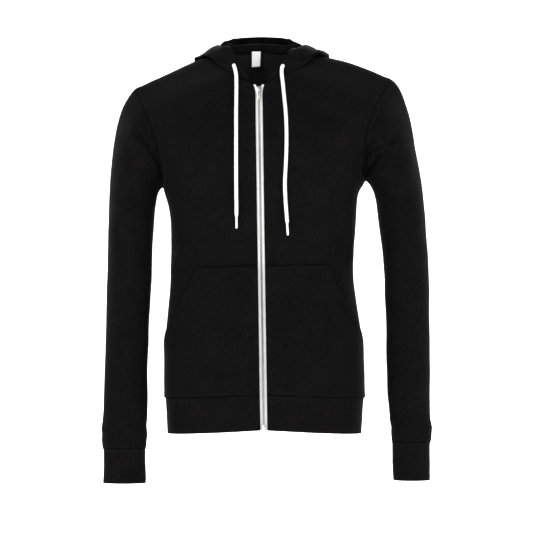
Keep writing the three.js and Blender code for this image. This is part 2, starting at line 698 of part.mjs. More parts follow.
// A pocket is a stretch of its front's own grid, moved out, and cut off along the hand opening
function pocketSheet(frontRows, frontNormals, sideName) {
  const topRow = BODY_LEVELS.indexOf(POCKET_TOP_Z);
  const edgeColumn = (level) => {
    if (level <= POCKET_SIDE_Z) return POCKET_SIDE_COLUMN;
    const share = Math.min(1, (level - POCKET_SIDE_Z) / (POCKET_CORNER_Z - POCKET_SIDE_Z));
    return blend(POCKET_SIDE_COLUMN, POCKET_CORNER_COLUMN, share) - POCKET_BOW * Math.sin(Math.PI * share);
  };
  const onFront = (row, column) => {
    const k = Math.min(Math.floor(column), PANEL_COLUMNS - 1);
    const share = column - k;
    const position = frontRows[row][k].clone().lerp(frontRows[row][k + 1], share);
    const from = frontNormals.get(placeKey(frontRows[row][k])).clone();
    const outward = from.lerp(frontNormals.get(placeKey(frontRows[row][k + 1])), share).normalize();
    const level = BODY_LEVELS[row];
    const aboveEnd = smooth((level - POCKET_SIDE_Z) / GAPE_ROOM);
    const slanted = aboveEnd * smooth((POCKET_TOP_Z - level) / GAPE_ROOM);
    const nearEdge = smooth((column - edgeColumn(level) + 2) / 2);
    const off = CLOTH + POCKET_LIES_OFF + POCKET_GAPES * slanted * nearEdge;
    return position.addScaledVector(outward, off);
  };
  const rows = [];
  for (let row = 0; row <= topRow; row += 1) {
    const most = edgeColumn(BODY_LEVELS[row]);
    const points = [];
    for (let k = 0; k <= PANEL_COLUMNS; k += 1) points.push(onFront(row, Math.min(k, most)));
    rows.push(points);
  }
  return new Sheet().grid(rows, turnedOver(sideName, 'front'));
}

function clothAt(z) {
  return z < HEM_Z + SEAM_ROOM ? FOLDED_CLOTH : CLOTH;
}

// The outward direction of a front edge between two of its points, in the plane of the zip
function outOf(lower, upper) {
  return vec(0, lower.z - upper.z, upper.y - lower.y).normalize();
}

// The tape runs behind the edge of its front and of the band, from the foot of the zip up to its flared end
function tapeSheet(edgePoints, sideName) {
  const side = SIDES[sideName];
  const rows = edgePoints.map((position, i) => {
    const behind = clothAt(position.z) + TAPE_LIES_OFF;
    const outward = outOf(edgePoints[Math.max(i - 1, 0)], edgePoints[Math.min(i + 1, edgePoints.length - 1)]);
    const flare = TAPE_FLARE * smooth((position.z - ZIP_TOP_Z + TAPE_FLARE_ROOM) / TAPE_FLARE_ROOM);
    const near = side.sign * (TAPE_MIDDLE_GAP / 2 - ZIP_SHOWS / 2 + flare);
    const across = [0, 0.5, 1].map((share) => near + side.sign * share * (TAPE_WIDTH - flare));
    return across.map((x) => position.clone().addScaledVector(outward, -behind).add(vec(x, 0, 0)));
  });
  return new Sheet().grid(rows, turnedOver(sideName, 'front'));
}

// Hard pieces of the zip, in a frame that lies on the tape: -Y is outwards and +Z runs up the zip
function asManifold(geometry) {
  const bare = geometry.clone();
  bare.deleteAttribute('normal');
  bare.deleteAttribute('uv');
  const merged = mergeVertices(bare, 1e-4);
  return new manifoldLibrary.Manifold(new manifoldLibrary.Mesh({
    numProp: 3,
    vertProperties: new Float32Array(merged.attributes.position.array),
    triVerts: new Uint32Array(merged.index.array),
  }));
}

function joined(geometries) {
  const whole = geometries.map(asManifold).reduce((sum, next) => sum.add(next));
  const mesh = whole.getMesh();
  const geometry = new THREE.BufferGeometry();
  geometry.setAttribute('position', new THREE.BufferAttribute(new Float32Array(mesh.vertProperties), 3));
  geometry.setIndex(Array.from(mesh.triVerts));
  return geometry;
}

function extruded(shape, depth, curveSegments = 6) {
  return new THREE.ExtrudeGeometry(shape, { depth, bevelEnabled: false, curveSegments });
}

// Stands an outline drawn in X and Z upright, with its thickness from y to y + thick
function upright(shape, y, thick) {
  const geometry = extruded(shape, thick);
  geometry.rotateX(Math.PI / 2);
  geometry.translate(0, y + thick, 0);
  return geometry;
}

function sliderOutline() {
  const half = SLIDER_WIDE / 2;
  const waist = SLIDER_WAIST / 2;
  const top = SLIDER_LONG / 2;
  const outline = new THREE.Shape();
  outline.moveTo(-waist, -top);
  outline.lineTo(waist, -top);
  outline.quadraticCurveTo(waist, 0, half, top * 0.45);
  outline.quadraticCurveTo(half, top, half * 0.5, top);
  outline.lineTo(-half * 0.5, top);
  outline.quadraticCurveTo(-half, top, -half, top * 0.45);
  outline.quadraticCurveTo(-waist, 0, -waist, -top);
  return outline;
}

function sliderGeometry() {
  const front = upright(sliderOutline(), -SEAM_GAP - SLIDER_PLATE, SLIDER_PLATE);
  const back = upright(sliderOutline(), SLIDER_SLOT - SEAM_GAP, SLIDER_PLATE);
  const post = new THREE.BoxGeometry(SLIDER_POST, SLIDER_SLOT + SLIDER_PLATE, SLIDER_POST);
  post.translate(0, SLIDER_SLOT / 2 - SEAM_GAP, SLIDER_LONG / 2 - SLIDER_POST / 2 - POST_INSET);
  const arch = new THREE.Shape();
  const half = BAIL_LONG / 2;
  arch.moveTo(-half, 0);
  arch.quadraticCurveTo(-half, BAIL_HIGH, 0, BAIL_HIGH);
  arch.quadraticCurveTo(half, BAIL_HIGH, half, 0);
  arch.lineTo(half - BAIL_THICK, 0);
  arch.quadraticCurveTo(half - BAIL_THICK, BAIL_HIGH - BAIL_THICK, 0, BAIL_HIGH - BAIL_THICK);
  arch.quadraticCurveTo(-half + BAIL_THICK, BAIL_HIGH - BAIL_THICK, -half + BAIL_THICK, 0);
  arch.closePath();
  const bail = extruded(arch, BAIL_WIDE);
  bail.translate(0, 0, -BAIL_WIDE / 2);
  bail.rotateY(-Math.PI / 2);
  bail.rotateZ(Math.PI);
  bail.translate(0, -SEAM_GAP - SLIDER_PLATE + BAIL_SUNK, BAIL_UP);
  return joined([front, back, post, bail]);
}

function pullGeometry() {
  const half = PULL_WIDE / 2;
  const outline = new THREE.Shape();
  outline.moveTo(-half * 0.8, PULL_BAR / 2);
  outline.lineTo(-half, -PULL_BAR);
  outline.lineTo(-half * 0.8, -PULL_LONG + half);
  outline.quadraticCurveTo(-half * 0.8, -PULL_LONG, 0, -PULL_LONG);
  outline.quadraticCurveTo(half * 0.8, -PULL_LONG, half * 0.8, -PULL_LONG + half);
  outline.lineTo(half, -PULL_BAR);
  outline.lineTo(half * 0.8, PULL_BAR / 2);
  const windowHalf = PULL_WINDOW_WIDE / 2;
  const opening = new THREE.Path();
  opening.moveTo(-windowHalf, -PULL_BAR / 2);
  opening.lineTo(-windowHalf, -PULL_BAR / 2 - PULL_WINDOW_LONG);
  opening.lineTo(windowHalf, -PULL_BAR / 2 - PULL_WINDOW_LONG);
  opening.lineTo(windowHalf, -PULL_BAR / 2);
  outline.holes.push(opening);
  const eye = new THREE.Path();
  eye.absarc(0, -PULL_LONG + 1.2 * half, PULL_EYE, 0, 2 * Math.PI);
  outline.holes.push(eye);
  return upright(outline, -PULL_THICK / 2, PULL_THICK);
}

// A frame on the tape's outer face at a height, turned to lie along it
function onTape(edgePoints, z) {
  const above = edgePoints.findIndex((position) => position.z > z);
  const [lower, upper] = [edgePoints[above - 1], edgePoints[above]];
  const outward = outOf(lower, upper);
  const frame = new THREE.Group();
  frame.position.copy(lower).lerp(upper, (z - lower.z) / (upper.z - lower.z));
  frame.position.setX(zipX(z)).addScaledVector(outward, -clothAt(lower.z) - TAPE_LIES_OFF);
  frame.rotation.x = -Math.atan2(upper.y - lower.y, upper.z - lower.z);
  return frame;
}

function roundedBox(wide, thick, high) {
  const corner = Math.min(wide, high) / 6;
  const outline = new THREE.Shape();
  outline.moveTo(-wide / 2 + corner, -high / 2);
  outline.lineTo(wide / 2 - corner, -high / 2);
  outline.lineTo(wide / 2, -high / 2 + corner);
  outline.lineTo(wide / 2, high / 2 - corner);
  outline.lineTo(wide / 2 - corner, high / 2);
  outline.lineTo(-wide / 2 + corner, high / 2);
  outline.lineTo(-wide / 2, high / 2 - corner);
  outline.lineTo(-wide / 2, -high / 2 + corner);
  return upright(outline, -SEAM_GAP - thick, thick);
}

// A cord hangs from its buttonhole beside the hood's edge and lies down the chest
const CORD_ROUTES = {
  right: [
    [-54, -66.5, -10], [-54, -71, -12], [-53, -75.5, -18.5], [-52, -78, -29], [-51.8, -84, -46],
    [-51.8, -94, -73], [-51.8, -110, -106], [-51.8, -122.5, -146], [-51.8, -127, -190], [-51.5, -127.6, -230],
    [-50.4, -127.4, -268], [-49.5, -127, -306],
  ],
  left: [
    [32.4, -69.5, -11], [31.2, -74, -13.5], [30.6, -77.5, -20], [31, -79, -31], [32.4, -84.8, -47],
    [35, -94.5, -73], [37.8, -110.8, -106], [38.9, -123, -146], [37.8, -127.4, -189], [36, -127.8, -225],
    [37, -127.8, -254], [39.6, -127.6, -290], [41.2, -127, -317],
  ],
};

function cordGeometry(sideName) {
  const path = new THREE.CatmullRomCurve3(CORD_ROUTES[sideName].map((place) => vec(...place)));
  const section = new THREE.Shape();
  section.absarc(0, 0, CORD_WIDE / 2, 0, 2 * Math.PI);
  return new THREE.ExtrudeGeometry(section, {
    extrudePath: path,
    steps: CORD_STEPS,
    curveSegments: CORD_HALF_SIDES,
    bevelEnabled: false,
  });
}

// Everything that meets at a seam is laid out first, so that neighbours share their seam's points
function build() {
  const hoodie = new THREE.Group();
  const sideNames = ['right', 'left'];
  const panels = {};
  const sheets = { back: new Sheet(), waistband: new Sheet() };
  for (const sideName of sideNames) {
    for (const face of ['front', 'back']) {
      const flip = turnedOver(sideName, face);
      panels[`${face}_${sideName}`] = halfPanel(sideName, face);
      const target = face === 'back' ? sheets.back : (sheets[`front_${sideName}`] = new Sheet());
      target.grid(panels[`${face}_${sideName}`], flip);
      sheets.waistband.grid(bandRows(sideName, face), flip);
    }
  }
  for (const sideName of sideNames) {
    const rings = sleeveRings(sideName);
    const wristRing = rings.length - CUFFS[sideName].length;
    const flip = sideName === 'right';
    sheets[`sleeve_${sideName}`] = new Sheet().grid(rings.slice(0, wristRing), flip, true);
    sheets[`cuff_${sideName}`] = new Sheet().grid(rings.slice(wristRing - 1), flip, true);
    sheets[`hood_${sideName}`] = hoodSheet(sideName, [sheets.back, sheets[`front_${sideName}`]]);
  }

  const names = Object.keys(sheets);
  const flatNormals = sharedNormals(Object.values(sheets));
  const finished = creased(names.map((name) => sheets[name]));
  const normals = sharedNormals(finished);
  names.forEach((name, i) => {
    const folded = name === 'waistband' || name.startsWith('cuff');
    const thickness = folded ? FOLDED_CLOTH : CLOTH;
    const geometry = wall(finished[i], normalsOf(finished[i], normals), thickness);
    hoodie.add(piece(name, geometry, folded ? 'rib' : 'fleece'));
  });

  const seat = (position) => (
    position.clone().addScaledVector(flatNormals.get(placeKey(position)), -creaseDepth(position))
  );
  let zipEdge;
  for (const sideName of sideNames) {
    const frontRows = panels[`front_${sideName}`].map((row) => row.map(seat));
    const pocket = pocketSheet(frontRows, normals, sideName);
    const pocketNormals = normalsOf(pocket, sharedNormals([pocket]));
    hoodie.add(piece(`pocket_${sideName}`, wall(pocket, pocketNormals, CLOTH), 'fleece'));
    const bandEdge = bandRows(sideName, 'front').slice(0, -1).map((row) => seat(row[0]));
    const frontEdge = frontRows.slice(0, BODY_LEVELS.length + ZIP_ROWS).map((row) => row[0]);
    const topCell = frontRows.slice(BODY_LEVELS.length + ZIP_ROWS - 2, BODY_LEVELS.length + ZIP_ROWS);
    const flareSteps = TAPE_FLARE_STEPS.map((share) => topCell[0][0].clone().lerp(topCell[1][0], share));
    const tapeEdge = [...bandEdge, ...frontEdge];
    tapeEdge.splice(-1, 0, ...flareSteps);
    const tape = tapeSheet(tapeEdge, sideName);
    const tapeNormals = normalsOf(tape, sharedNormals([tape]));
    zipEdge = tapeEdge;
    hoodie.add(piece(`zip_tape_${sideName}`, wall(tape, tapeNormals, TAPE_THICK, 0), 'tape'));
    hoodie.add(piece(`drawcord_${sideName}`, cordGeometry(sideName), 'cord'));
  }

  // The slider, its pull and the retaining box lie on the tape, which leans back towards the neck
  const zipHead = onTape(zipEdge, SLIDER_Z);
  zipHead.add(piece('zip_slider', sliderGeometry(), 'nickel'));
  const pull = piece('zip_pull', pullGeometry(), 'nickel');
  pull.position.set(0, PULL_Y, PULL_Z);
  zipHead.add(pull);
  const zipFoot = onTape(zipEdge, ZIP_FOOT_Z + ZIP_BOX_LONG / 2 + SEAM_GAP);
  zipFoot.add(piece('zip_box', roundedBox(ZIP_BOX_WIDE, ZIP_BOX_THICK, ZIP_BOX_LONG), 'nickel'));
  hoodie.add(zipHead, zipFoot);

  const label = new THREE.BoxGeometry(LABEL_WIDE, LABEL_THICK, LABEL_LONG);
  const labelMesh = piece('neck_label', label, 'label');
  const backNeck = NECKLINE[NECKLINE.length - 1];
  labelMesh.position.set(LABEL_X, backNeck.y - CLOTH - LABEL_LIES_OFF, backNeck.z - LABEL_LONG / 2);
  hoodie.add(labelMesh);
  return hoodie;
}

export default build();
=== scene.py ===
"""A zip up hoodie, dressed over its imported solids: cloth, sewing, zip, cords and the stage it is shown on."""

import math
from functools import partialmethod

import bmesh
import bpy
import numpy as np
from bpy.props import FloatProperty, FloatVectorProperty, PointerProperty
from mathutils import Matrix, Vector, noise
from mathutils.bvhtree import BVHTree


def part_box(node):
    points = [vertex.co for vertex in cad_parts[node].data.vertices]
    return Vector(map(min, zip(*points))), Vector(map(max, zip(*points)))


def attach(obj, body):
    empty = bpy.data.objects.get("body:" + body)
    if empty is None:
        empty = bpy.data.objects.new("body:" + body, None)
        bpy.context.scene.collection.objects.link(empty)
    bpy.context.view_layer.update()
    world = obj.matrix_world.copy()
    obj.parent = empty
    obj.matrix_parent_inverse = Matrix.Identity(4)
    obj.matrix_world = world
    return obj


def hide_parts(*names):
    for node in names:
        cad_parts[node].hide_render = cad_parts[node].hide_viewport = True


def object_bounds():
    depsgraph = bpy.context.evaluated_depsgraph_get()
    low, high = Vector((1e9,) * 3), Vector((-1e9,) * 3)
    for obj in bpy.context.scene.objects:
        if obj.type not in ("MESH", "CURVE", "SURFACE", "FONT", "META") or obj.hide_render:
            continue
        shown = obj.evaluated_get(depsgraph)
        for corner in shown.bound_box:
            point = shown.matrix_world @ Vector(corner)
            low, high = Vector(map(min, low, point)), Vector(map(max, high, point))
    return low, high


bl_info = {
    "name": "Zip Up Hoodie",
    "version": (1, 0, 0),
    "blender": (4, 5, 0),
    "location": "View3D > Sidebar > Hoodie",
    "description": "Dresses a hollow zip up hoodie with folds, sewing, a toothed zip and drawcords",
    "category": "Object",
}

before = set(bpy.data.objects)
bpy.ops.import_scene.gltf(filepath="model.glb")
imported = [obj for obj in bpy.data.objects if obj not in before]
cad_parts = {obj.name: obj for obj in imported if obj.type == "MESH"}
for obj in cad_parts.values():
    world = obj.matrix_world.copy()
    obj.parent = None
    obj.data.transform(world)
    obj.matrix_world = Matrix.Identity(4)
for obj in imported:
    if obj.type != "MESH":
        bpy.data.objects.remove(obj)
SOLIDS_BOX = [list(corner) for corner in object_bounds()]
MM = 0.001

# The cloth's pieces, and what each was cut to: width, length and area, in metres
SHELL_CUTS = {
    "front_right": (0.275, 0.66, 0.135),
    "front_left": (0.28, 0.66, 0.139),
    "back": (0.55, 0.67, 0.288),
    "sleeve_right": (0.49, 0.66, 0.152),
    "sleeve_left": (0.49, 0.66, 0.155),
    "cuff_right": (0.212, 0.063, 0.0127),
    "cuff_left": (0.206, 0.07, 0.0131),
    "waistband": (0.97, 0.068, 0.062),
    "hood_right": (0.29, 0.49, 0.066),
    "hood_left": (0.29, 0.49, 0.066),
}
POCKET_CUTS = {"pocket_right": (0.205, 0.245, 0.0445), "pocket_left": (0.21, 0.245, 0.0455)}
FOLDED = ("waistband", "cuff_right", "cuff_left")
SIDES = ("right", "left")

# How the cloth is made and sewn
SEAM_MEETS = 0.9 * MM  # rims of two solids that lie this close are sewn
SEAM_DIP = 0.6 * MM
SEAM_AIR = 0.01 * MM
WAVINESS = 1.3 * MM
FULLER_ROUNDS = 2
SMOOTH_LEVELS = 2
NARROW_FOLD = 6  # half width in mm, up to which the cloth is divided once more
FOLDED_ROUNDING = 0.8 * MM
POCKET_ROUNDING = 0.5 * MM
METAL_ROUNDING = 0.22 * MM
HEM_ANGLE = 60  # in degrees
METAL_ANGLE = 40
TOOTH_STANDS = 0.55 * MM  # how far a tooth's middle stands to its side, and out of the tape
TEETH_SHADE = 0.68  # the teeth beside the polished slider
TIP_NARROWING = 0.42
ALL_TURNED_IN = 1.0  # wider than any piece, in metres
PINCHED_WALL = 0.1 * MM  # the wall where two layers cross
OFF_SHEET = 0.05 * MM  # where a look behind a sheet starts, clear of the sheet itself
SHARED_ROOM = 0.42  # how much of the room between two layers each of them may fill
STITCH_REACH = 5 * MM  # a stitch that would lie farther from the cloth is left out
BUTTONHOLE = (5.2 * MM, 8 * MM)  # half its width and half its height
BUTTONHOLE_STITCHES = 44

# Where the zip runs between the fronts, from its top to its foot
ZIP_TOP = (-10 * MM, -48 * MM)
ZIP_FOOT = (-1 * MM, -661 * MM)

# The cords' routes, in metres, from the buttonhole in the hood's edge to the sealed tip
CORD_ROUTES = {
    "right": [
        (-0.054, -0.0675, -0.0145), (-0.0538, -0.072, -0.0158), (-0.0522, -0.076, -0.021),
        (-0.0502, -0.079, -0.031), (-0.0496, -0.0848, -0.047), (-0.0496, -0.0945, -0.073),
        (-0.0498, -0.110, -0.106), (-0.0496, -0.1225, -0.146), (-0.0496, -0.127, -0.190),
        (-0.0494, -0.1276, -0.230), (-0.049, -0.1274, -0.268), (-0.0488, -0.127, -0.305),
    ],
    "left": [
        (0.0328, -0.0712, -0.0158), (0.0318, -0.0755, -0.0172), (0.0306, -0.0785, -0.0225),
        (0.0307, -0.0802, -0.032), (0.0324, -0.0852, -0.047), (0.035, -0.0945, -0.073),
        (0.0378, -0.1108, -0.106), (0.0389, -0.123, -0.146), (0.0378, -0.1274, -0.189),
        (0.036, -0.1278, -0.225), (0.037, -0.1278, -0.254), (0.0396, -0.1276, -0.290),
        (0.0412, -0.127, -0.317),
    ],
}

# Creases, each a soft trough along a line seen from the front: the side it is on (-1 the front, 1 the back),
# its start across and up, its end, half its width and its depth, all in mm. A negative depth is a ridge.
FOLDS = [
    (-1, -230, -131, -204, -160, 4.5, 4.6), (-1, -204, -160, -186, -193, 4.5, 5.4),
    (-1, -186, -193, -182, -216, 4.5, 4), (-1, -246, -160, -222, -200, 10, 2),
    (-1, -214, -196, -196, -232, 9, 2.2), (-1, -170, -150, -150, -215, 11, 2),
    (-1, 235, -142, 204, -175, 4.5, 5.2), (-1, 204, -175, 186, -200, 4.5, 5.6),
    (-1, 213, -153, 184, -173, 4, 5), (-1, 224, -168, 204, -192, 4.5, 3), (-1, 194, -143, 182, -160, 4, 4),
    (-1, 181, -160, 182, -204, 4.5, 4.6), (-1, 71, 14, 60, 7, 5, 2.4), (-1, 60, 7, 41, -4, 5, 2),
    (-1, 106, 4, 75, -5, 5, -1.6), (-1, -96, 9, -64, -5, 6, 1.8), (-1, 246, -176, 222, -214, 10, 2),
    (-1, 168, -168, 150, -226, 11, 2), (-1, -262, -299, -246, -358, 8, 2.6),
    (-1, -222, -330, -206, -372, 8, 1.8), (-1, -270, -420, -238, -446, 9, 1.8),
    (-1, -228, -498, -262, -520, 9, 1.5), (-1, -272, -575, -240, -592, 8, 1.6),
    (-1, 236, -396, 276, -424, 8, 2.2), (-1, 224, -330, 250, -352, 9, 1.6),
    (-1, 240, -470, 280, -488, 9, 1.6), (-1, 230, -560, 266, -578, 8, 1.6),
    (-1, -132, -320, -154, -358, 8, -2.2), (-1, -154, -358, -167, -384, 8, -2),
    (-1, -112, -340, -140, -372, 9, 1.4), (-1, 121, -270, 140, -358, 9, 2.4),
    (-1, 136, -297, 152, -400, 10, 1.6), (-1, 148, -265, 158, -358, 7, -1.8),
    (-1, 150, -420, 172, -500, 11, 1.8), (-1, -160, -430, -172, -500, 11, 1.6),
    (-1, -118, -96, -70, -180, 20, 1.2), (-1, 100, -90, 60, -170, 20, 1.2),
    (-1, -150, -560, -96, -590, 13, 1.2), (-1, 92, -566, 150, -588, 13, 1.2),
    (1, -120, -240, -60, -330, 13, 2.2), (1, 118, -250, 66, -350, 13, 2.2), (1, -150, -300, -96, -352, 11, 2),
    (1, 150, -306, 100, -360, 11, 2), (1, -52, -372, 56, -394, 12, 2.2), (1, -70, -410, 30, -430, 13, 1.8),
    (1, -30, -450, 84, -470, 14, 1.6), (1, -128, -560, -60, -584, 13, 1.4), (1, 50, -566, 120, -586, 13, 1.4),
    (1, -196, -130, -168, -200, 10, 2.4), (1, 192, -120, 166, -196, 10, 2.4),
    (1, -262, -395, -220, -430, 9, 2.2), (1, -266, -440, -224, -462, 9, 2),
    (1, -262, -540, -230, -560, 9, 1.8), (1, 240, -370, 285, -402, 9, 2.2), (1, 236, -430, 284, -448, 9, 2),
    (1, 238, -546, 276, -566, 9, 1.8), (1, -70, -60, -40, -130, 12, 1.8), (1, 62, -56, 34, -128, 12, 1.8),
    (1, -24, -90, -14, -170, 10, 1.4),
]

# Where the cloth lies off its solid: the pieces, the place, how far the move reaches and the move, in mm
HOOD = ("hood_right", "hood_left")
CORNERS = ("front_right", "front_left", *HOOD)
SETTLES = [
    (HOOD, (-113, 5, 12), 14, (0, 0, -6)),
    (HOOD, (112, 5, 14), 14, (0, 0, -6.5)),
    (HOOD, (-66, -27, 20), 14, (-3, 0, 5.5)),
    (HOOD, (-69, 56, 29), 12, (-3, 0, 7)),
    (HOOD, (-12, 60, 40), 28, (0, 0, 3.2)),
    (HOOD, (56, 54, 27), 11, (3, 0, 5)),
    (HOOD, (-121, 5, 8), 9, (5, 0, 0)),
    (CORNERS, (-16, -80, -46), 11, (-5.5, 0, 0)),
    (CORNERS, (-4, -80, -46), 11, (5.5, 0, 0)),
]

# The gathers above each cuff: the middle of the sleeve's foot across and up, and its half width, in mm
CUFF_GATHERS = [(-250, -683, 38), (262, -671, 36)]
GATHER_PITCH = 6.5 * MM
GATHER_DEPTH = 1.1 * MM
GATHER_MIDDLE = 16 * MM
GATHER_FADE = 17 * MM

# Each laid sheet's outer face, which the sewing and the teeth are set on
SHEETS = {}


def unit(low, high, values):
    """A smooth step from 0 at low to 1 at high."""
    share = np.clip((values - low) / (high - low), 0, 1)
    return share * share * (3 - 2 * share)


def zip_x(z):
    """The zip's middle at a height."""
    return ZIP_TOP[0] + (ZIP_FOOT[0] - ZIP_TOP[0]) * (z - ZIP_TOP[1]) / (ZIP_FOOT[1] - ZIP_TOP[1])


def rows_of(items, key):
    """One vector of every item, as rows."""
    values = np.empty(len(items) * 3)
    items.foreach_get(key, values)
    return values.reshape(-1, 3)


def positions(mesh):
    """Every vertex of a mesh, as rows."""
    return rows_of(mesh.vertices, "co")


def directions(mesh):
    """Every vertex's own outward direction, as rows."""
    return rows_of(mesh.vertex_normals, "vector")


def move_to(mesh, points):
    """Puts a mesh's vertices at new points."""
    mesh.vertices.foreach_set("co", points.ravel())
    mesh.update()


def as_bmesh(mesh):
    """An editable copy of a mesh."""
    bm = bmesh.new()
    bm.from_mesh(mesh)
    return bm


def as_mesh(bm, name):
    """A new mesh from an editable one, which is freed."""
    mesh = bpy.data.meshes.new(name)
    bm.to_mesh(mesh)
    bm.free()
    return mesh


def shown_mesh(holder):
    """The mesh that an object comes out as, with its modifiers or as a curve's tube."""
    graph = bpy.context.evaluated_depsgraph_get()
    return bpy.data.meshes.new_from_object(holder.evaluated_get(graph))


def hold(name, data):
    """An object in the scene that holds the data."""
    holder = bpy.data.objects.new(name, data)
    bpy.context.scene.collection.objects.link(holder)
    return holder


def curve_mesh(curve):
    """What a curve comes out as: its line, or the tube round it."""
    holder = hold(curve.name, curve)
    mesh = shown_mesh(holder)
    bpy.data.objects.remove(holder)
    return mesh


def fold_place(points, x0, z0, x1, z1):
    """How far along a fold each point is, from 0 to 1, how far across it, and how far from it."""
    start = np.array([x0, z0]) * MM
    line = np.array([x1, z1]) * MM - start
    offset = points[:, [0, 2]] - start
    along = np.clip(offset @ line / (line @ line), 0, 1)
    across = (offset[:, 0] * line[1] - offset[:, 1] * line[0]) / np.linalg.norm(line)
    return along, across, np.linalg.norm(offset - along[:, None] * line, axis=1)


def crease_rise(points, normals, strength):
    """How far each point stands out because of the folds, the cuffs' gathers and the cloth's waviness."""
    rise = np.zeros(len(points))
    for side, x0, z0, x1, z1, wide, deep in FOLDS:
        along, across, straight = fold_place(points, x0, z0, x1, z1)
        wander = 0.25 * wide * MM * np.sin(7 * along + x0)
        beside = (along > 0) & (along < 1)
        away = np.where(beside, np.abs(across + wander), straight) / (wide * MM)
        trough = -np.exp(-(away**2)) + 0.4 * np.exp(-(((away - 1.9) / 0.9) ** 2))
        swell = 0.55 + 0.45 * np.sin(math.pi * along)
        facing = unit(0.05, 0.55, side * normals[:, 1])
        rise += strength * deep * MM * trough * swell * facing
    for middle, foot, half in CUFF_GATHERS:
        above = points[:, 2] - foot * MM
        around = np.arctan2(points[:, 1] + 26 * MM, points[:, 0] - middle * MM)
        here = (np.abs(points[:, 0] - middle * MM) < 1.6 * half * MM) & (above > -4 * MM)
        bunch = np.sin(above / GATHER_PITCH + 1.3 * np.sin(2 * around) + 0.8 * around)
        fading = np.exp(-(((above - GATHER_MIDDLE) / GATHER_FADE) ** 2))
        rise += np.where(here, GATHER_DEPTH * strength * bunch * fading, 0)
    broad = [noise.noise(Vector(p) * 14) for p in points]
    fine = [noise.noise(Vector(p) * 31 + Vector((5, 0, 0))) for p in points]
    return rise + strength * WAVINESS * (np.array(broad) + 0.5 * np.array(fine))


def outside_of(node):
    """A cloth solid's outer face alone: the larger of the two walls that are left without its rim."""
    bm = as_bmesh(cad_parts[node].data)
    bmesh.ops.remove_doubles(bm, verts=bm.verts, dist=1e-5)
    through = 1 * MM if "tape" in node else 3 * MM if node in FOLDED else 2 * MM
    walls = [edge for edge in bm.edges if abs(edge.calc_length() - through) < 0.006 * MM]
    rim = {face for edge in walls for face in edge.link_faces}
    bmesh.ops.delete(bm, geom=list(rim), context="FACES")
    waiting = set(bm.faces)
    wholes = []
    while waiting:
        whole = [waiting.pop()]
        for face in whole:
            for edge in face.edges:
                for other in edge.link_faces:
                    if other in waiting:
                        waiting.remove(other)
                        whole.append(other)
        wholes.append(whole)
    wholes.sort(key=lambda faces: sum(face.calc_area() for face in faces))
    spare = [face for faces in wholes[:-1] for face in faces]
    bmesh.ops.delete(bm, geom=spare, context="FACES")
    bmesh.ops.join_triangles(bm, faces=bm.faces, angle_face_threshold=math.pi, angle_shape_threshold=math.pi)
    return bm


def smoothed(mesh, name):
    """A mesh with its Subdivision Surface applied, made fuller first so that it passes its own points."""
    holder = hold(name, mesh)
    surface = holder.modifiers.new("smooth", "SUBSURF")
    surface.boundary_smooth = "PRESERVE_CORNERS"
    surface.levels = surface.render_levels = 1
    wanted = positions(mesh)
    for _ in range(FULLER_ROUNDS):
        shrunk = shown_mesh(holder)
        fuller = positions(mesh) + wanted - positions(shrunk)[: len(wanted)]
        bpy.data.meshes.remove(shrunk)
        move_to(mesh, fuller)
    surface.levels = surface.render_levels = SMOOTH_LEVELS
    result = shown_mesh(holder)
    bpy.data.objects.remove(holder)
    return result


def settle(mesh, names):
    """Moves the cloth of the hood and the fronts' top corners to the way it lies."""
    points = positions(mesh)
    owners = {name: set() for name in names}
    for face in mesh.polygons:
        owners[names[face.material_index]].update(face.vertices)
    shift = np.zeros(points.shape)
    for pieces, place, reach, move in SETTLES:
        moved = sorted(set().union(*(owners[name] for name in pieces)))
        away = ((points[moved] / MM - place) ** 2).sum(axis=1) / reach**2
        shift[moved] += np.exp(-away)[:, None] * move
    move_to(mesh, points + shift * MM)


def refine_near_folds(mesh):
    """Divides the cloth once more along its narrow folds."""
    points = positions(mesh)
    normals = directions(mesh)
    near = np.zeros(len(points), bool)
    for side, x0, z0, x1, z1, wide, _ in FOLDS:
        if wide <= NARROW_FOLD:
            away = fold_place(points, x0, z0, x1, z1)[2]
            near |= (away < 2.6 * wide * MM) & (side * normals[:, 1] > -0.1)
    bm = as_bmesh(mesh)
    edges = [edge for edge in bm.edges if all(near[vert.index] for vert in edge.verts)]
    bmesh.ops.subdivide_edges(bm, edges=edges, cuts=1, use_grid_fill=True)
    bm.to_mesh(mesh)
    bm.free()
    mesh.update()


def shape_folds(mesh, strength):
    """Moves a sheet's vertices out and in along its own surface to lay the folds."""
    refine_near_folds(mesh)
    points = positions(mesh)
    normals = directions(mesh)
    rise = crease_rise(points, normals, strength)
    move_to(mesh, points + normals * rise[:, None])


def sink_seams(mesh):
    """Lets the sewn cloth dip in along every seam between two of its pieces."""
    bm = as_bmesh(mesh)
    seams = [edge for edge in bm.edges if len({face.material_index for face in edge.link_faces}) > 1]
    for vert in {vert for edge in seams for vert in edge.verts}:
        vert.co -= vert.normal * SEAM_DIP
    bm.to_mesh(mesh)
    bm.free()


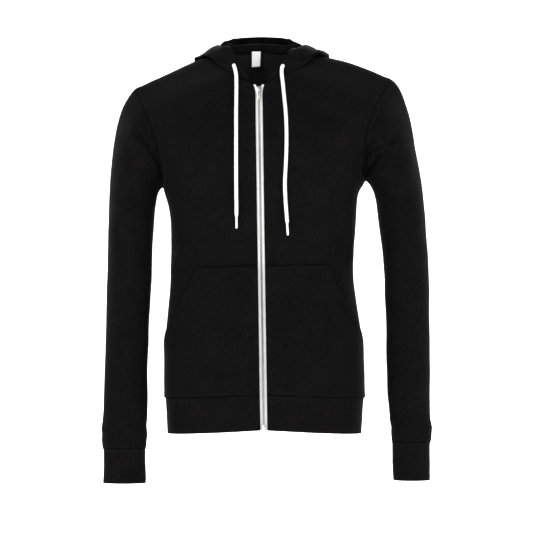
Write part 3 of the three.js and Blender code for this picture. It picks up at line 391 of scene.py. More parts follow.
def draw_back(bm, gap=0.0):
    """Leaves some air at a sheet's rim, makes the rim sharp and writes each vertex's distance from it."""
    rim = [edge for edge in bm.edges if edge.is_boundary]
    for edge in rim:
        edge.smooth = False
    pull = {}
    for edge in rim:
        face = edge.link_faces[0]
        along = (edge.verts[1].co - edge.verts[0].co).normalized()
        inward = face.calc_center_median() - edge.verts[0].co
        inward = (inward - along * inward.dot(along)).normalized()
        for vert in edge.verts:
            pull.setdefault(vert, []).append(inward)
    for vert, inwards in pull.items():
        vert.co += sum(inwards, Vector()).normalized() * gap
    starts = np.array([edge.verts[0].co for edge in rim])
    lines = np.array([edge.verts[1].co for edge in rim]) - starts
    lengths = np.maximum((lines**2).sum(axis=1), 1e-12)
    layer = bm.verts.layers.float.new("seam")
    for vert in bm.verts:
        offset = np.array(vert.co) - starts
        along = np.clip((offset * lines).sum(axis=1) / lengths, 0, 1)
        vert[layer] = np.linalg.norm(offset - along[:, None] * lines, axis=1).min()


def own_sheet(whole, index):
    """One piece's faces, cut out of the sewn cloth."""
    bm = as_bmesh(whole)
    spare = [face for face in bm.faces if face.material_index != index]
    bmesh.ops.delete(bm, geom=spare, context="FACES")
    for face in bm.faces:
        face.material_index = 0
    bm.normal_update()
    return bm


def finished(bm, name, material, body="garment"):
    """A shown piece, smooth, riding on its body."""
    mesh = as_mesh(bm, name)
    mesh.materials.append(material)
    for face in mesh.polygons:
        face.use_smooth = True
    made = hold(name, mesh)
    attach(made, body)
    return made


def mark_outward(mesh):
    """Keeps every vertex's own outward direction, so that pieces sewn together are thickened alike."""
    values = directions(mesh).astype(np.float32)
    mesh.attributes.new("outward", "FLOAT_VECTOR", "POINT").data.foreach_set("vector", values.ravel())


def give_thickness(bm, thickness, turned_in=0.0):
    """Adds the wall behind a sheet, thinner where two layers lie close, and closes it round its rim.

    Cloth that is turned in at the rim shows its outer side inside as well.
    """
    outward = bm.verts.layers.float_vector["outward"]
    seam = bm.verts.layers.float["seam"]
    inside = bm.verts.layers.float.new("inside")
    rim = [edge.link_loops[0] for edge in bm.edges if edge.is_boundary]
    rim = [(loop.vert, loop.link_loop_next.vert) for loop in rim]
    faces = list(bm.faces)
    sheet = BVHTree.FromBMesh(bm)
    inner = {}
    for vert in list(bm.verts):
        behind = -vert[outward]
        room = sheet.ray_cast(vert.co + behind * OFF_SHEET, behind, 4 * thickness)[3]
        wall = thickness if room is None else min(thickness, SHARED_ROOM * room)
        place = vert.co + behind * wall
        near, facing, _, _ = sheet.find_nearest(place)
        if (place - near).dot(facing) > 0:
            wall = PINCHED_WALL
            place = vert.co + behind * wall
        inner[vert] = bm.verts.new(place)
        inner[vert][seam] = vert[seam]
        inner[vert][inside] = 1 if vert[seam] > turned_in and wall == thickness else 0
    for face in faces:
        bm.faces.new([inner[vert] for vert in reversed(face.verts)])
    for start, end in rim:
        bm.faces.new((end, start, inner[start], inner[end]))
        bm.edges.get((inner[start], inner[end])).smooth = False


def walled(bm, name, thickness, gap=0.0, turned_in=0.0):
    """Keeps a sheet's outer face for what is set on it, and gives the sheet its wall."""
    draw_back(bm, gap)
    SHEETS[name] = bm.copy()
    give_thickness(bm, thickness, turned_in)
    return bm


def lone_sheet(name, thickness, fold_strength=None):
    """A piece that isn't sewn into the cloth: its outer face smoothed, folded if asked, and walled."""
    mesh = smoothed(as_mesh(outside_of(name), name), name)
    if fold_strength is not None:
        shape_folds(mesh, fold_strength)
    mark_outward(mesh)
    return walled(as_bmesh(mesh), name, thickness)


def ease_edges(made, width, angle):
    """Rounds a piece's edges that turn by more than the angle, in degrees."""
    edge = made.modifiers.new("eased edges", "BEVEL")
    edge.width = width
    edge.segments = 2
    edge.limit_method = "ANGLE"
    edge.angle_limit = math.radians(angle)
    return edge


def rim_run(bm, wanted):
    """The longest run of a sheet's rim that wanted picks, as (place, inward direction) in order."""
    chosen = [edge for edge in bm.edges if edge.is_boundary and all(wanted(vert.co) for vert in edge.verts)]
    joined = {}
    for edge in chosen:
        for vert in edge.verts:
            joined.setdefault(vert, []).append(edge)
    longest = []
    unused = set(chosen)
    while unused:
        ends = [vert for vert, edges in joined.items() if len([e for e in edges if e in unused]) == 1]
        vert = ends[0] if ends else next(iter(unused)).verts[0]
        run = [vert]
        while True:
            onward = [edge for edge in joined[vert] if edge in unused]
            if not onward:
                break
            unused.discard(onward[0])
            vert = onward[0].other_vert(vert)
            run.append(vert)
        if len(run) > len(longest):
            longest = run
    result = []
    for i, vert in enumerate(longest):
        before = longest[max(i - 1, 0)].co
        after = longest[min(i + 1, len(longest) - 1)].co
        along = (after - before).normalized()
        inward = sum((face.calc_center_median() - vert.co for face in vert.link_faces), Vector())
        result.append((vert.co.copy(), (inward - along * inward.dot(along)).normalized()))
    return result


def evenly(places, pitch):
    """Points at an even pitch along a line of places."""
    points = np.array([tuple(place) for place in places])
    steps = np.linalg.norm(np.diff(points, axis=0), axis=1)
    run = np.concatenate([[0], np.cumsum(steps)])
    at = np.arange(pitch / 2, run[-1], pitch)
    return [Vector(p) for p in np.stack([np.interp(at, run, points[:, k]) for k in range(3)], axis=1)]


def set_stitch(target, place, along, normal, size):
    """One small lens of thread that lies along a line on the cloth."""
    along = along.normalized()
    along = (along - normal * along.dot(normal)).normalized()
    turn = Matrix((along, normal.cross(along), normal)).transposed().to_4x4()
    lens = Matrix.Translation(place) @ turn @ Matrix.Diagonal((*size, 1))
    bmesh.ops.create_icosphere(target, subdivisions=1, radius=1, matrix=lens)


def lay_stitches(target, sheet, run, inset, sizes):
    """A row of stitches that follows a rim at an inset, each a small lens of thread sunk in the cloth."""
    surface = BVHTree.FromBMesh(sheet)
    line = evenly([place + inward * inset for place, inward in run], sizes.stitch_pitch)
    for i, place in enumerate(line):
        spot, normal, _, away = surface.find_nearest(place)
        if away > STITCH_REACH or not 0 < i < len(line) - 1:
            continue
        size = (sizes.stitch_pitch * 0.36, sizes.thread * 0.9, sizes.thread * 0.55)
        set_stitch(target, spot + normal * sizes.thread * 0.12, line[i + 1] - line[i - 1], normal, size)


class Value:
    """A number that changes over a surface. Python's own operators on it add Math nodes."""

    def __init__(self, finish, socket):
        self.finish = finish
        self.socket = socket

    def math(self, operation, *others):
        return self.finish.node("ShaderNodeMath", {"operation": operation}, dict(enumerate([self, *others])))

    def __rsub__(self, other):
        return self.finish.node("ShaderNodeMath", {"operation": "SUBTRACT"}, {0: other, 1: self})

    __add__ = __radd__ = partialmethod(math, "ADD")
    __sub__ = partialmethod(math, "SUBTRACT")
    __mul__ = __rmul__ = partialmethod(math, "MULTIPLY")
    __truediv__ = partialmethod(math, "DIVIDE")
    __pow__ = partialmethod(math, "POWER")
    __abs__ = partialmethod(math, "ABSOLUTE")
    sine = partialmethod(math, "SINE")
    fraction = partialmethod(math, "FRACT")

    def rises(self, low, high):
        sockets = {"Value": self, "From Min": low, "From Max": high}
        return self.finish.node("ShaderNodeMapRange", {"interpolation_type": "SMOOTHSTEP"}, sockets)


class Finish:
    """A material that is written as expressions."""

    def __init__(self, name):
        self.material = bpy.data.materials.new(name)
        self.material.use_nodes = True
        self.tree = self.material.node_tree
        self.tree.nodes.clear()
        self.shader = self.tree.nodes.new("ShaderNodeBsdfPrincipled")
        output = self.tree.nodes.new("ShaderNodeOutputMaterial")
        self.tree.links.new(self.shader.outputs["BSDF"], output.inputs["Surface"])

    def node(self, kind, settings=None, sockets=None, output=0):
        made = self.tree.nodes.new(kind)
        for name, value in (settings or {}).items():
            setattr(made, name, value)
        for name, value in (sockets or {}).items():
            self.fill(made.inputs[name], value)
        return Value(self, made.outputs[output])

    def fill(self, socket, value):
        if isinstance(value, Value):
            self.tree.links.new(value.socket, socket)
        else:
            socket.default_value = value

    def set(self, **sockets):
        for name, value in sockets.items():
            self.fill(self.shader.inputs[name.replace("_", " ")], value)
        return self.material

    def place(self):
        return self.node("ShaderNodeTexCoord", output="Object")

    def facing(self):
        return self.node("ShaderNodeTexCoord", output="Normal")

    def parts(self, vector):
        split = self.node("ShaderNodeSeparateXYZ", sockets={"Vector": vector}).socket.node
        return [Value(self, split.outputs[k]) for k in range(3)]

    def noise(self, scale, detail=2.0, roughness=0.5):
        sockets = {"Vector": self.place(), "Scale": scale, "Detail": detail, "Roughness": roughness}
        return self.node("ShaderNodeTexNoise", sockets=sockets)

    def attribute(self, name):
        return self.node("ShaderNodeAttribute", {"attribute_name": name}, output="Fac")

    def colours(self, first, second, mask):
        mixed = self.tree.nodes.new("ShaderNodeMix")
        mixed.data_type = "RGBA"
        self.fill(mixed.inputs["Factor"], mask)
        self.fill(mixed.inputs[6], first)
        self.fill(mixed.inputs[7], second)
        return Value(self, mixed.outputs[2])

    def bump(self, height, strength, distance):
        sockets = {"Height": height, "Strength": strength, "Distance": distance}
        self.set(Normal=self.node("ShaderNodeBump", sockets=sockets, output="Normal"))


def rgba(colour, times=1.0):
    """A colour for a socket, made darker or lighter."""
    return (*(c * times for c in colour), 1.0)


def knit(across, up, wale, course):
    """The height of plain knitting: columns of small V shaped stitches."""
    column = abs((across / wale).fraction() - 0.5)
    legs = (up / course + column * 1.6).fraction() - 0.5
    return (0.5 - column * column * 2.0) * (1 - abs(legs) * 1.3)


def fleece_finish(name, colour, sizes):
    """Brushed knitted fleece: fine wales, a soft nap that catches light at its edges, and seams sunk into the
    cloth. Its colour holds painted shade along the seams, and painted highlight on the seam allowance and on
    the knit's raised stitches.
    """
    fleece = Finish(name)
    x, y, z = fleece.parts(fleece.place())
    nx, ny, nz = fleece.parts(fleece.facing())
    sides, fronts, tops = (abs(n) ** 3 for n in (nx, ny, nz))
    wale, course = sizes.wale, sizes.wale * 0.8
    # The knit's relief: a bump, and a painted highlight on its raised stitches in the colour.
    knitted = (
        knit(x, z, wale, course) * fronts
        + knit(y, z, wale, course) * sides
        + knit(x, y, wale, course) * tops
    ) / (sides + fronts + tops + 0.001)
    nap = fleece.noise(1400, 3, 0.7)
    heather = fleece.noise(300, 4, 0.75).rises(0.36, 0.66)
    worn = fleece.noise(30, 3, 0.55).rises(0.3, 0.72)
    edge = fleece.attribute("seam")
    # Painted shade: the colour is darkened within 1.5 mm of a seam, where the seam's valley lies in shade.
    painted_seam_shade = 1 - edge.rises(0.3 * MM, 1.5 * MM)
    # The raised seam allowance beside each seam: a bump, and a painted highlight in the colour.
    allowance_and_highlight = edge.rises(0.6 * MM, 2.4 * MM) * (1 - edge.rises(6 * MM, 9 * MM))
    shade = worn * 0.12 + heather * 0.5 + nap * 0.2 + knitted * 0.2 + allowance_and_highlight * 0.06 - painted_seam_shade * 0.9
    outer = fleece.colours(rgba(colour, 0.35), rgba(colour, 1.75), shade)
    fleece.bump(knitted * 0.35 + nap * 0.5 + allowance_and_highlight * 0.5, 0.5, 0.45 * MM)
    return fleece.set(
        Base_Color=fleece.colours(outer, rgba(colour, sizes.inside), fleece.attribute("inside")),
        Roughness=0.8 + 0.15 * nap,
        Specular_IOR_Level=0.025,
        Sheen_Weight=0.014,
        Sheen_Roughness=0.4,
        Sheen_Tint=rgba((0.8, 0.84, 0.9)),
    )


def tape_finish(colour):
    """White woven zip tape: a fine herringbone twill."""
    tape = Finish("white woven tape")
    x, _, z = tape.parts(tape.place())
    lane = abs((x / (2.6 * MM)).fraction() - 0.5) * 2.6 * MM
    twill = ((z + lane) * (2 * math.pi / (0.9 * MM))).sine() * 0.5 + 0.5
    soil = tape.noise(90, 2).rises(0.3, 0.8)
    tape.bump(twill, 0.5, 0.2 * MM)
    # Painted shade: the base colour is darker in the twill's furrows.
    return tape.set(
        Base_Color=tape.colours(rgba(colour, 0.8), rgba(colour), twill * 0.6 + soil * 0.4),
        Roughness=0.8 + 0.1 * soil,
    )


def cord_finish(colour):
    """White tubular braid, with a smooth sealed tip."""
    cord = Finish("white braided cord")
    along, around, tip = (cord.attribute(name) for name in ("along", "around", "tip"))
    turn = around * 4.0
    first = (along * (2 * math.pi / (3.2 * MM)) + turn).sine()
    second = (along * (2 * math.pi / (3.2 * MM)) - turn).sine()
    braid = (abs(first) * 0.5 + abs(second) * 0.5) * (1 - tip)
    fluff = cord.noise(2200, 2, 0.6)
    cord.bump(braid + fluff * 0.2, 0.7, 0.45 * MM)
    # Painted shade: the base colour is darker in the hollows between the braid's strands; the smooth tip keeps
    # the full colour.
    return cord.set(
        Base_Color=cord.colours(rgba(colour, 0.66), rgba(colour), (braid + tip).rises(0.05, 0.75)),
        Roughness=0.85 - 0.35 * tip,
        Sheen_Weight=0.1,
    )


def nickel_finish(colour):
    """Polished nickel with fine handling marks."""
    nickel = Finish("polished nickel")
    x, _, z = nickel.parts(nickel.place())
    brushed = ((x * 9000 + z * 900).sine() * 0.5 + 0.5) * nickel.noise(500, 3)
    haze = nickel.noise(160, 2)
    return nickel.set(
        Base_Color=nickel.colours(rgba(colour, 0.85), rgba(colour), haze),
        Metallic=1.0,
        Roughness=0.2 + 0.14 * brushed + 0.08 * haze,
    )


def label_finish(colour):
    """Bare white satin ribbon."""
    satin = Finish("white satin label")
    x, _, z = satin.parts(satin.place())
    weave = (x * (2 * math.pi / (0.5 * MM))).sine() * (z * (2 * math.pi / (0.35 * MM))).sine()
    satin.bump(weave, 0.3, 0.1 * MM)
    # Painted shade: the base colour is a little darker in the weave's hollows.
    return satin.set(
        Base_Color=satin.colours(rgba(colour, 0.93), rgba(colour), weave * 0.5 + 0.5),
        Roughness=0.42 + 0.1 * satin.noise(300),
    )


def thread_finish(colour):
    """Twisted sewing thread, a touch glossier than the cloth."""
    thread = Finish("black sewing thread")
    x, y, z = thread.parts(thread.place())
    twist = ((x + y + z) * (2 * math.pi / (0.6 * MM))).sine() * 0.5 + 0.5
    thread.bump(twist, 0.4, 0.1 * MM)
    # Painted highlight and shade: the base colour is lighter on the twist's ridges and darker in its grooves.
    return thread.set(
        Base_Color=thread.colours(rgba(colour, 0.8), rgba(colour, 1.8), twist),
        Roughness=0.7 + 0.1 * twist,
        Specular_IOR_Level=0.04,
    )


class HoodieCloth(bpy.types.PropertyGroup):
    thickness: FloatProperty(
        name="Cloth", description="Thickness of one layer of fleece", default=0.002, unit="LENGTH"
    )
    folded: FloatProperty(
        name="Folded cloth", description="Thickness of the band and the cuffs", default=0.003, unit="LENGTH"
    )
    fold_strength: FloatProperty(
        name="Folds", description="How deep the creases are, 1 as shown", default=1.0
    )
    wale: FloatProperty(
        name="Wale", description="Width of one column of knitting", default=0.0013, unit="LENGTH"
    )
    colour: FloatVectorProperty(
        name="Fleece colour", description="The dyed fleece", default=(0.0037, 0.0034, 0.0036), subtype="COLOR"
    )
    inside: FloatProperty(
        name="Inside", description="How much paler the looped inside is than the fleece's face", default=3.2
    )


class HoodieSewing(bpy.types.PropertyGroup):
    stitch_pitch: FloatProperty(
        name="Stitch", description="Length of one stitch", default=0.0034, unit="LENGTH"
    )
    thread: FloatProperty(name="Thread", description="Half width of a stitch", default=0.00045, unit="LENGTH")
    colour: FloatVectorProperty(
        name="Thread colour", description="The sewing thread", default=(0.004, 0.004, 0.0043), subtype="COLOR"
    )


class HoodieZip(bpy.types.PropertyGroup):
    tooth_pitch: FloatProperty(
        name="Tooth pitch", description="From one tooth to the next on one side",
        default=0.0026, unit="LENGTH",
    )
    tooth_reach: FloatProperty(
        name="Tooth reach", description="How far a tooth reaches across the zip",
        default=0.0032, unit="LENGTH",
    )
    tape_thickness: FloatProperty(
        name="Tape", description="Thickness of the tape", default=0.001, unit="LENGTH"
    )
    tape_colour: FloatVectorProperty(
        name="Tape colour", description="The woven tape", default=(0.78, 0.78, 0.77), subtype="COLOR"
    )
    metal_colour: FloatVectorProperty(
        name="Metal colour", description="Teeth, slider and pull",
        default=(0.62, 0.615, 0.59), subtype="COLOR",
    )


class HoodieCords(bpy.types.PropertyGroup):
    diameter: FloatProperty(name="Cord", description="Width of the cord", default=0.0066, unit="LENGTH")
    tip: FloatProperty(name="Tip", description="Length of the sealed tip", default=0.022, unit="LENGTH")
    colour: FloatVectorProperty(
        name="Cord colour", description="The braided cord", default=(0.86, 0.86, 0.85), subtype="COLOR"
    )


class HoodieStage(bpy.types.PropertyGroup):
    camera_away: FloatProperty(
        name="Camera distance", description="From the camera to the garment's middle",
        default=5.0, unit="LENGTH",
    )
    seen_width: FloatProperty(
        name="Seen width", description="Width of the view at the garment's middle",
        default=0.972, unit="LENGTH",
    )
    key_power: FloatProperty(
        name="Key light", description="Power of the large front light", default=70.0, unit="POWER"
    )
    backdrop: FloatProperty(name="Backdrop", description="Brightness of the white surround", default=0.5)


class HOODIE_OT_stage(bpy.types.Operator):
    """Sets the camera, the soft lights and the pale floor"""

    bl_idname = "hoodie.stage"
    bl_label = "Stage"

    def execute(self, context):
        stage = context.scene.hoodie_stage
        view = bpy.data.cameras.new("front view")
        view.sensor_width = 36
        view.lens = 36 * stage.camera_away / stage.seen_width
        view.clip_end = 40
        camera = hold("front view", view)
        camera.location = (0.0099, -stage.camera_away, -0.378)
        camera.rotation_euler = (math.pi / 2, 0, 0)
        context.scene.camera = camera

        pale = Finish("pale studio floor")
        grain = pale.noise(3, 2)
        material = pale.set(
            Base_Color=pale.colours(rgba((0.93,) * 3), rgba((0.95,) * 3), grain),
            Roughness=0.85 + 0.05 * grain,
            Emission_Color=rgba((1, 1, 1)),
            Emission_Strength=0.75,
        )
        bm = bmesh.new()
        bmesh.ops.create_grid(bm, x_segments=2, y_segments=2, size=8)
        bmesh.ops.translate(bm, verts=bm.verts, vec=(0, 0, SOLIDS_BOX[0][2] - 0.02))
        far = [edge for edge in bm.edges if all(vert.co.y > 7.9 for vert in edge.verts)]
        sweep = bmesh.ops.extrude_edge_only(bm, edges=far)["geom"]
        raised = [vert for vert in sweep if isinstance(vert, bmesh.types.BMVert)]
        bmesh.ops.translate(bm, verts=raised, vec=(0, 0, 9))
        floor = hold("studio floor", as_mesh(bm, "studio floor"))
        floor.data.materials.append(material)

        context.scene.view_settings.view_transform = "Standard"
        world = context.scene.world = bpy.data.worlds.new("white surround")
        world.use_nodes = True
        tree = world.node_tree
        surround = tree.nodes["Background"]
        surround.inputs["Color"].default_value = (1, 1, 1, 1)
        seen = tree.nodes.new("ShaderNodeLightPath")
        strength = tree.nodes.new("ShaderNodeMapRange")
        strength.inputs["To Min"].default_value = stage.backdrop
        strength.inputs["To Max"].default_value = 1.1
        tree.links.new(seen.outputs["Is Camera Ray"], strength.inputs["Value"])
        tree.links.new(strength.outputs["Result"], surround.inputs["Strength"])
        lamps = [
            ("key", (-1.4, -2.6, 1.7), 1.8, stage.key_power),
            ("fill", (1.9, -2.2, 0.9), 1.8, stage.key_power * 0.5),
            ("rim right", (-1.9, 1.2, 0.9), 1.2, stage.key_power * 0.7),
            ("rim left", (1.9, 1.2, 0.9), 1.2, stage.key_power * 0.7),
            ("back", (0.4, 2.9, 1.4), 1.8, stage.key_power),
        ]
        for name, place, size, power in lamps:
            light = bpy.data.lights.new(name, "AREA")
            light.size = size
            light.energy = power
            lamp = hold(name, light)
            lamp.location = place
            lamp.rotation_euler = (Vector((0, 0, -0.35)) - Vector(place)).to_track_quat("-Z", "Y").to_euler()
        return {"FINISHED"}


class HOODIE_OT_cords(bpy.types.Operator):
    """Lays the two drawcords, which hang from the hood's edge"""

    bl_idname = "hoodie.cords"
    bl_label = "Drawcords"

    def execute(self, context):
        sizes = context.scene.hoodie_cords
        material = cord_finish(sizes.colour)
        for side, route in CORD_ROUTES.items():
            path = self.way_along(route)
            run = np.concatenate([[0], np.cumsum([(b - a).length for a, b in zip(path, path[1:])])])
            mesh = self.tube_round(path, run, sizes)
            self.mark_braid(mesh, path, run, sizes)
            bm = as_bmesh(mesh)
            bmesh.ops.remove_doubles(bm, verts=bm.verts, dist=1e-6)
            bmesh.ops.recalc_face_normals(bm, faces=bm.faces)
            made = finished(bm, f"drawcord_{side}_braid", material)
            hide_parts(f"drawcord_{side}")
            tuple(route[0])
            [tuple(place) for place in path]
        return {"FINISHED"}

    def way_along(self, route):
        """Even points along the soft bend through a route."""
        guide = bpy.data.curves.new("guide", "CURVE")
        guide.dimensions = "3D"
        bend = guide.splines.new("BEZIER")
        bend.bezier_points.add(len(route) - 1)
        for point, place in zip(bend.bezier_points, route):
            point.co = place
            point.handle_left_type = point.handle_right_type = "AUTO"
        guide.resolution_u = 12
        places = [vertex.co.copy() for vertex in curve_mesh(guide).vertices]
        return [places[0], *evenly(places, 2 * MM), places[-1]]

    def tube_round(self, path, run, sizes):
        """A round tube along the path, narrower where its tip is sealed."""
        tube = bpy.data.curves.new("tube", "CURVE")
        tube.dimensions = "3D"
        tube.bevel_depth = sizes.diameter / 2
        tube.bevel_resolution = 3
        tube.use_fill_caps = True
        line = tube.splines.new("POLY")
        line.points.add(len(path) - 1)
        for point, place, left in zip(line.points, path, run[-1] - run):
            narrowed = 1 - TIP_NARROWING * float(unit(sizes.tip + 3 * MM, sizes.tip - 2 * MM, left))
            point.co = (*place, 1)
            point.radius = narrowed * (1 if left > 1 * MM else 0.8)
        return curve_mesh(tube)

    def mark_braid(self, mesh, path, run, sizes):
        """Writes on each vertex how far along and around the cord it lies, and whether on the tip."""
        points = positions(mesh)
        ring = np.array([tuple(place) for place in path])
        nearest = np.argmin(((points[:, None, :] - ring[None]) ** 2).sum(axis=2), axis=1)
        ahead = ring[np.minimum(nearest + 1, len(ring) - 1)] - ring[np.maximum(nearest - 1, 0)]
        ahead /= np.linalg.norm(ahead, axis=1)[:, None]
        offset = points - ring[nearest]
        sideways = np.cross(ahead, np.array([1.0, 0, 0]))
        sideways /= np.linalg.norm(sideways, axis=1)[:, None]
        front = np.where((sideways[:, 1] > 0)[:, None], -sideways, sideways)
        marks = {
            "along": run[nearest],
            "around": np.arctan2(offset[:, 0], (offset * front).sum(axis=1)),
            "tip": unit(sizes.tip + 1 * MM, sizes.tip - 1 * MM, run[-1] - run[nearest]),
        }
        for name, values in marks.items():
            layer = mesh.attributes.new(name, "FLOAT", "POINT")
            layer.data.foreach_set("value", values.astype(np.float32))


class HOODIE_OT_cloth(bpy.types.Operator):
    """Sews fronts, back, sleeves, cuffs, band and hood as one folded cloth, and cuts it along its seams"""

    bl_idname = "hoodie.cloth"
    bl_label = "Cloth"

    def execute(self, context):
        cloth = context.scene.hoodie_cloth
        material = fleece_finish("black fleece", cloth.colour, cloth)
        band = fleece_finish("black folded fleece", tuple(c * 1.05 for c in cloth.colour), cloth)
        names = list(SHELL_CUTS)
        sewn = bmesh.new()
        for index, name in enumerate(names):
            outside = outside_of(name)
            for face in outside.faces:
                face.material_index = index
            sewn.from_mesh(as_mesh(outside, name))
        rim = [vert for vert in sewn.verts if vert.is_boundary]
        bmesh.ops.remove_doubles(sewn, verts=rim, dist=SEAM_MEETS)
        whole = as_mesh(sewn, "sewn cloth")
        for _ in names:
            whole.materials.append(None)
        whole = smoothed(whole, "sewn cloth")
        settle(whole, names)
        shape_folds(whole, cloth.fold_strength)
        sink_seams(whole)
        mark_outward(whole)

        for index, name in enumerate(names):
            folded = name in FOLDED
            turned_in = ALL_TURNED_IN if folded or name in HOOD else 0.0
            wall = cloth.folded if folded else cloth.thickness
            bm = walled(own_sheet(whole, index), name, wall, SEAM_AIR, turned_in)
            if folded:
                made = finished(bm, f"{name}_cloth", band)
                ease_edges(made, FOLDED_ROUNDING, HEM_ANGLE)
            else:
                made = finished(bm, f"{name}_cloth", material)
            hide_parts(name)
            width, length, area = SHELL_CUTS[name]
        return {"FINISHED"}


class HOODIE_OT_pockets(bpy.types.Operator):
    """Lays the two pockets on the fronts"""

    bl_idname = "hoodie.pockets"
    bl_label = "Pockets"

    def execute(self, context):
        cloth = context.scene.hoodie_cloth
        material = fleece_finish("black pocket fleece", cloth.colour, cloth)
        for name, (width, length, area) in POCKET_CUTS.items():
            bm = lone_sheet(name, cloth.thickness, cloth.fold_strength)
            made = finished(bm, f"{name}_cloth", material)
            ease_edges(made, POCKET_ROUNDING, HEM_ANGLE)
            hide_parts(name)
        return {"FINISHED"}


class HOODIE_OT_tapes(bpy.types.Operator):
    """Weaves the two zip tapes and sets the teeth between them"""

    bl_idname = "hoodie.tapes"
    bl_label = "Zip tapes and teeth"

    def execute(self, context):
        sizes = context.scene.hoodie_zip
        material = tape_finish(sizes.tape_colour)
        for side in SIDES:
            name = f"zip_tape_{side}"
            made = finished(lone_sheet(name, sizes.tape_thickness), f"{name}_woven", material)
            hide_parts(name)
        self.set_teeth(sizes)
        return {"FINISHED"}

    def set_teeth(self, sizes):
        """Sets eased blocks on the tapes from the slider to the box, from one side and the other in turn."""
        surfaces = [BVHTree.FromBMesh(SHEETS[f"zip_tape_{side}"]) for side in SIDES]
        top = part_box("zip_slider")[0].z + 2 * MM
        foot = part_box("zip_box")[1].z - 1 * MM
        teeth = bmesh.new()
        count = int((top - foot) / (sizes.tooth_pitch / 2))
        for i in range(count):
            z = top - (i + 0.5) * sizes.tooth_pitch / 2
            hand = -1 if i % 2 else 1
            starts = [Vector((zip_x(z) + k * 3 * MM, -0.3, z)) for k in (-1, 1)]
            spots = [surface.ray_cast(start, Vector((0, 1, 0))) for surface, start in zip(surfaces, starts)]
            hits = [spot for spot in spots if spot[0] is not None]
            if not hits:
                continue
            depth = sum(spot[0].y for spot in hits) / len(hits)
            normal = sum((spot[1] for spot in hits), Vector()).normalized()
            lean = normal.to_track_quat("Y", "Z").to_matrix().to_4x4()
            middle = Vector((zip_x(z) + hand * TOOTH_STANDS, depth, z)) + normal * TOOTH_STANDS
            size = Matrix.Diagonal((sizes.tooth_reach, 1.9 * MM, sizes.tooth_pitch * 0.44, 1))
            bmesh.ops.create_cube(teeth, size=1, matrix=Matrix.Translation(middle) @ lean @ size)
        bmesh.ops.bevel(
            teeth, geom=teeth.edges, offset=0.28 * MM, segments=1, profile=0.5, affect="EDGES", material=-1
        )
        bmesh.ops.recalc_face_normals(teeth, faces=teeth.faces)
        dull = nickel_finish(tuple(c * TEETH_SHADE for c in sizes.metal_colour))
        made = finished(teeth, "zip_teeth", dull)
        for face in made.data.polygons:
            face.use_smooth = False


class HOODIE_OT_metal(bpy.types.Operator):
    """Polishes the slider, its pull and the box at the zip's foot, with their edges eased"""

    bl_idname = "hoodie.metal"
    bl_label = "Slider and pull"

    def execute(self, context):
        material = nickel_finish(context.scene.hoodie_zip.metal_colour)
        for node, body in (("zip_slider", "garment"), ("zip_pull", "pull_tab"), ("zip_box", "garment")):
            bm = as_bmesh(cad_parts[node].data)
            bmesh.ops.remove_doubles(bm, verts=bm.verts, dist=1e-6)
            bmesh.ops.dissolve_limit(bm, angle_limit=math.radians(1), verts=bm.verts, edges=bm.edges)
            made = finished(bm, f"{node}_polished", material, body)
            ease_edges(made, METAL_ROUNDING, METAL_ANGLE).harden_normals = True
            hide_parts(node)
        return {"FINISHED"}


class HOODIE_OT_label(bpy.types.Operator):
    """Hangs the bare white label inside the back of the neck"""

    bl_idname = "hoodie.label"
    bl_label = "Neck label"

    def execute(self, context):
        low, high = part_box("neck_label")
        wide, tall = 0.92 * (high.x - low.x), 0.95 * (high.z - low.z)
        middle = (low + high) / 2 + Vector((0, 0, 3.5 * MM))
        bm = bmesh.new()
        bmesh.ops.create_grid(bm, x_segments=10, y_segments=16, size=0.5)
        bmesh.ops.scale(bm, verts=bm.verts, vec=(wide, tall, 1))
        bmesh.ops.rotate(bm, verts=bm.verts, matrix=Matrix.Rotation(math.pi / 2, 3, "X"))
        bmesh.ops.translate(bm, verts=bm.verts, vec=middle)
        # Cupped across, bowed down its length, and tilted at its foot
        for vert in bm.verts:
            down = (middle.z + tall / 2 - vert.co.z) / tall
            across = (vert.co.x - middle.x) / wide
            vert.co.y += 1.2 * MM * (across * across * 3 - 0.3) - 1.0 * MM * math.sin(2.2 * down)
            lifted = down * (across + 0.5) * MM
            vert.co += Vector((-1.2 * lifted, 0, 1.1 * lifted))
        made = finished(bm, "neck_label_satin", label_finish((0.9, 0.9, 0.89)))
        wall = made.modifiers.new("wall", "SOLIDIFY")
        wall.thickness = 0.6 * MM
        wall.offset = 0
        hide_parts("neck_label")
        return {"FINISHED"}


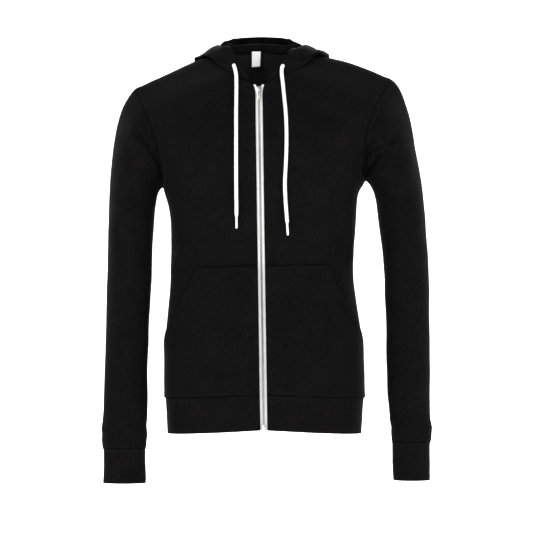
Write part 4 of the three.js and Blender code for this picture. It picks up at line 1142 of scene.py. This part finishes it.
class HOODIE_OT_sewing(bpy.types.Operator):
    """Sews the visible rows of stitches and the two buttonholes for the cords"""

    bl_idname = "hoodie.sewing"
    bl_label = "Stitching"

    def execute(self, context):
        sizes = context.scene.hoodie_sewing
        thread = bmesh.new()
        for name, insets, wanted in self.rows():
            run = rim_run(SHEETS[name], wanted)
            for inset in insets:
                lay_stitches(thread, SHEETS[name], run, inset * MM, sizes)
        for side, route in CORD_ROUTES.items():
            self.buttonhole(thread, SHEETS[f"hood_{side}"], Vector(route[1]), sizes)
        finished(thread, "stitching", thread_finish(sizes.colour))
        return {"FINISHED"}

    def rows(self):
        """Each row's piece, its distances from the rim in mm, and a test for the rim that it follows."""
        hem = -606 * MM

        def near_zip(p):
            """Whether a place is on the rim along the zip."""
            return abs(p.x - zip_x(p.z)) < 9 * MM

        for side in SIDES:
            yield f"pocket_{side}", (7, 10), lambda p: p.z > hem + 8 * MM and not near_zip(p)
        for side in SIDES:
            yield f"front_{side}", (7,), lambda p: p.z < -52 * MM and near_zip(p)
            yield f"front_{side}", (4,), lambda p: p.z < hem + 14 * MM
        yield "back", (4,), lambda p: p.z < hem + 6 * MM
        for side in SIDES:
            neck = BVHTree.FromBMesh(SHEETS[f"front_{side}"])
            yield f"hood_{side}", (24,), lambda p: (
                p.y < 0 and p.z > -40 * MM and neck.find_nearest(p)[3] >= 1.5 * MM
            )
        yield "waistband", (9,), lambda p: p.z < -655 * MM
        yield "cuff_right", (8,), lambda p: p.z < -750 * MM
        yield "cuff_left", (8,), lambda p: p.z < -745 * MM

    def buttonhole(self, target, sheet, middle, sizes):
        """An oval of close satin stitches round the place where a cord comes out."""
        surface = BVHTree.FromBMesh(sheet)
        half_width, half_height = BUTTONHOLE
        for i in range(BUTTONHOLE_STITCHES):
            turn = 2 * math.pi * i / BUTTONHOLE_STITCHES
            rim = Vector((math.sin(turn) * half_width, 0, math.cos(turn) * half_height))
            spot, normal, _, _ = surface.find_nearest(middle + rim)
            size = (1.7 * MM, sizes.thread * 0.9, sizes.thread * 0.8)
            set_stitch(target, spot + normal * sizes.thread * 0.3, rim, normal, size)


class HOODIE_PT_panel(bpy.types.Panel):
    """The hoodie's sizes, and its pieces in the order that they are made"""

    bl_idname = "HOODIE_PT_panel"
    bl_label = "Hoodie"
    bl_space_type = "VIEW_3D"
    bl_region_type = "UI"
    bl_category = "Hoodie"

    def draw(self, context):
        for name, group in SETTINGS.items():
            box = self.layout.box()
            for prop in group.__annotations__:
                box.prop(getattr(context.scene, name), prop)
        for operator in MAKERS:
            self.layout.operator(operator.bl_idname)


SETTINGS = {
    "hoodie_cloth": HoodieCloth,
    "hoodie_sewing": HoodieSewing,
    "hoodie_zip": HoodieZip,
    "hoodie_cords": HoodieCords,
    "hoodie_stage": HoodieStage,
}
MAKERS = (
    HOODIE_OT_stage, HOODIE_OT_cords, HOODIE_OT_cloth, HOODIE_OT_pockets,
    HOODIE_OT_tapes, HOODIE_OT_metal, HOODIE_OT_label, HOODIE_OT_sewing,
)


def register():
    for shown in (*SETTINGS.values(), *MAKERS, HOODIE_PT_panel):
        bpy.utils.register_class(shown)
    for name, group in SETTINGS.items():
        setattr(bpy.types.Scene, name, PointerProperty(type=group))


def unregister():
    for name in SETTINGS:
        delattr(bpy.types.Scene, name)
    for shown in reversed((*SETTINGS.values(), *MAKERS, HOODIE_PT_panel)):
        bpy.utils.unregister_class(shown)


def main():
    register()
    bpy.ops.hoodie.stage()
    bpy.ops.hoodie.cords()
    bpy.ops.hoodie.cloth()
    bpy.ops.hoodie.pockets()
    bpy.ops.hoodie.tapes()
    bpy.ops.hoodie.metal()
    bpy.ops.hoodie.label()
    bpy.ops.hoodie.sewing()


if __name__ == "__main__":
    main()
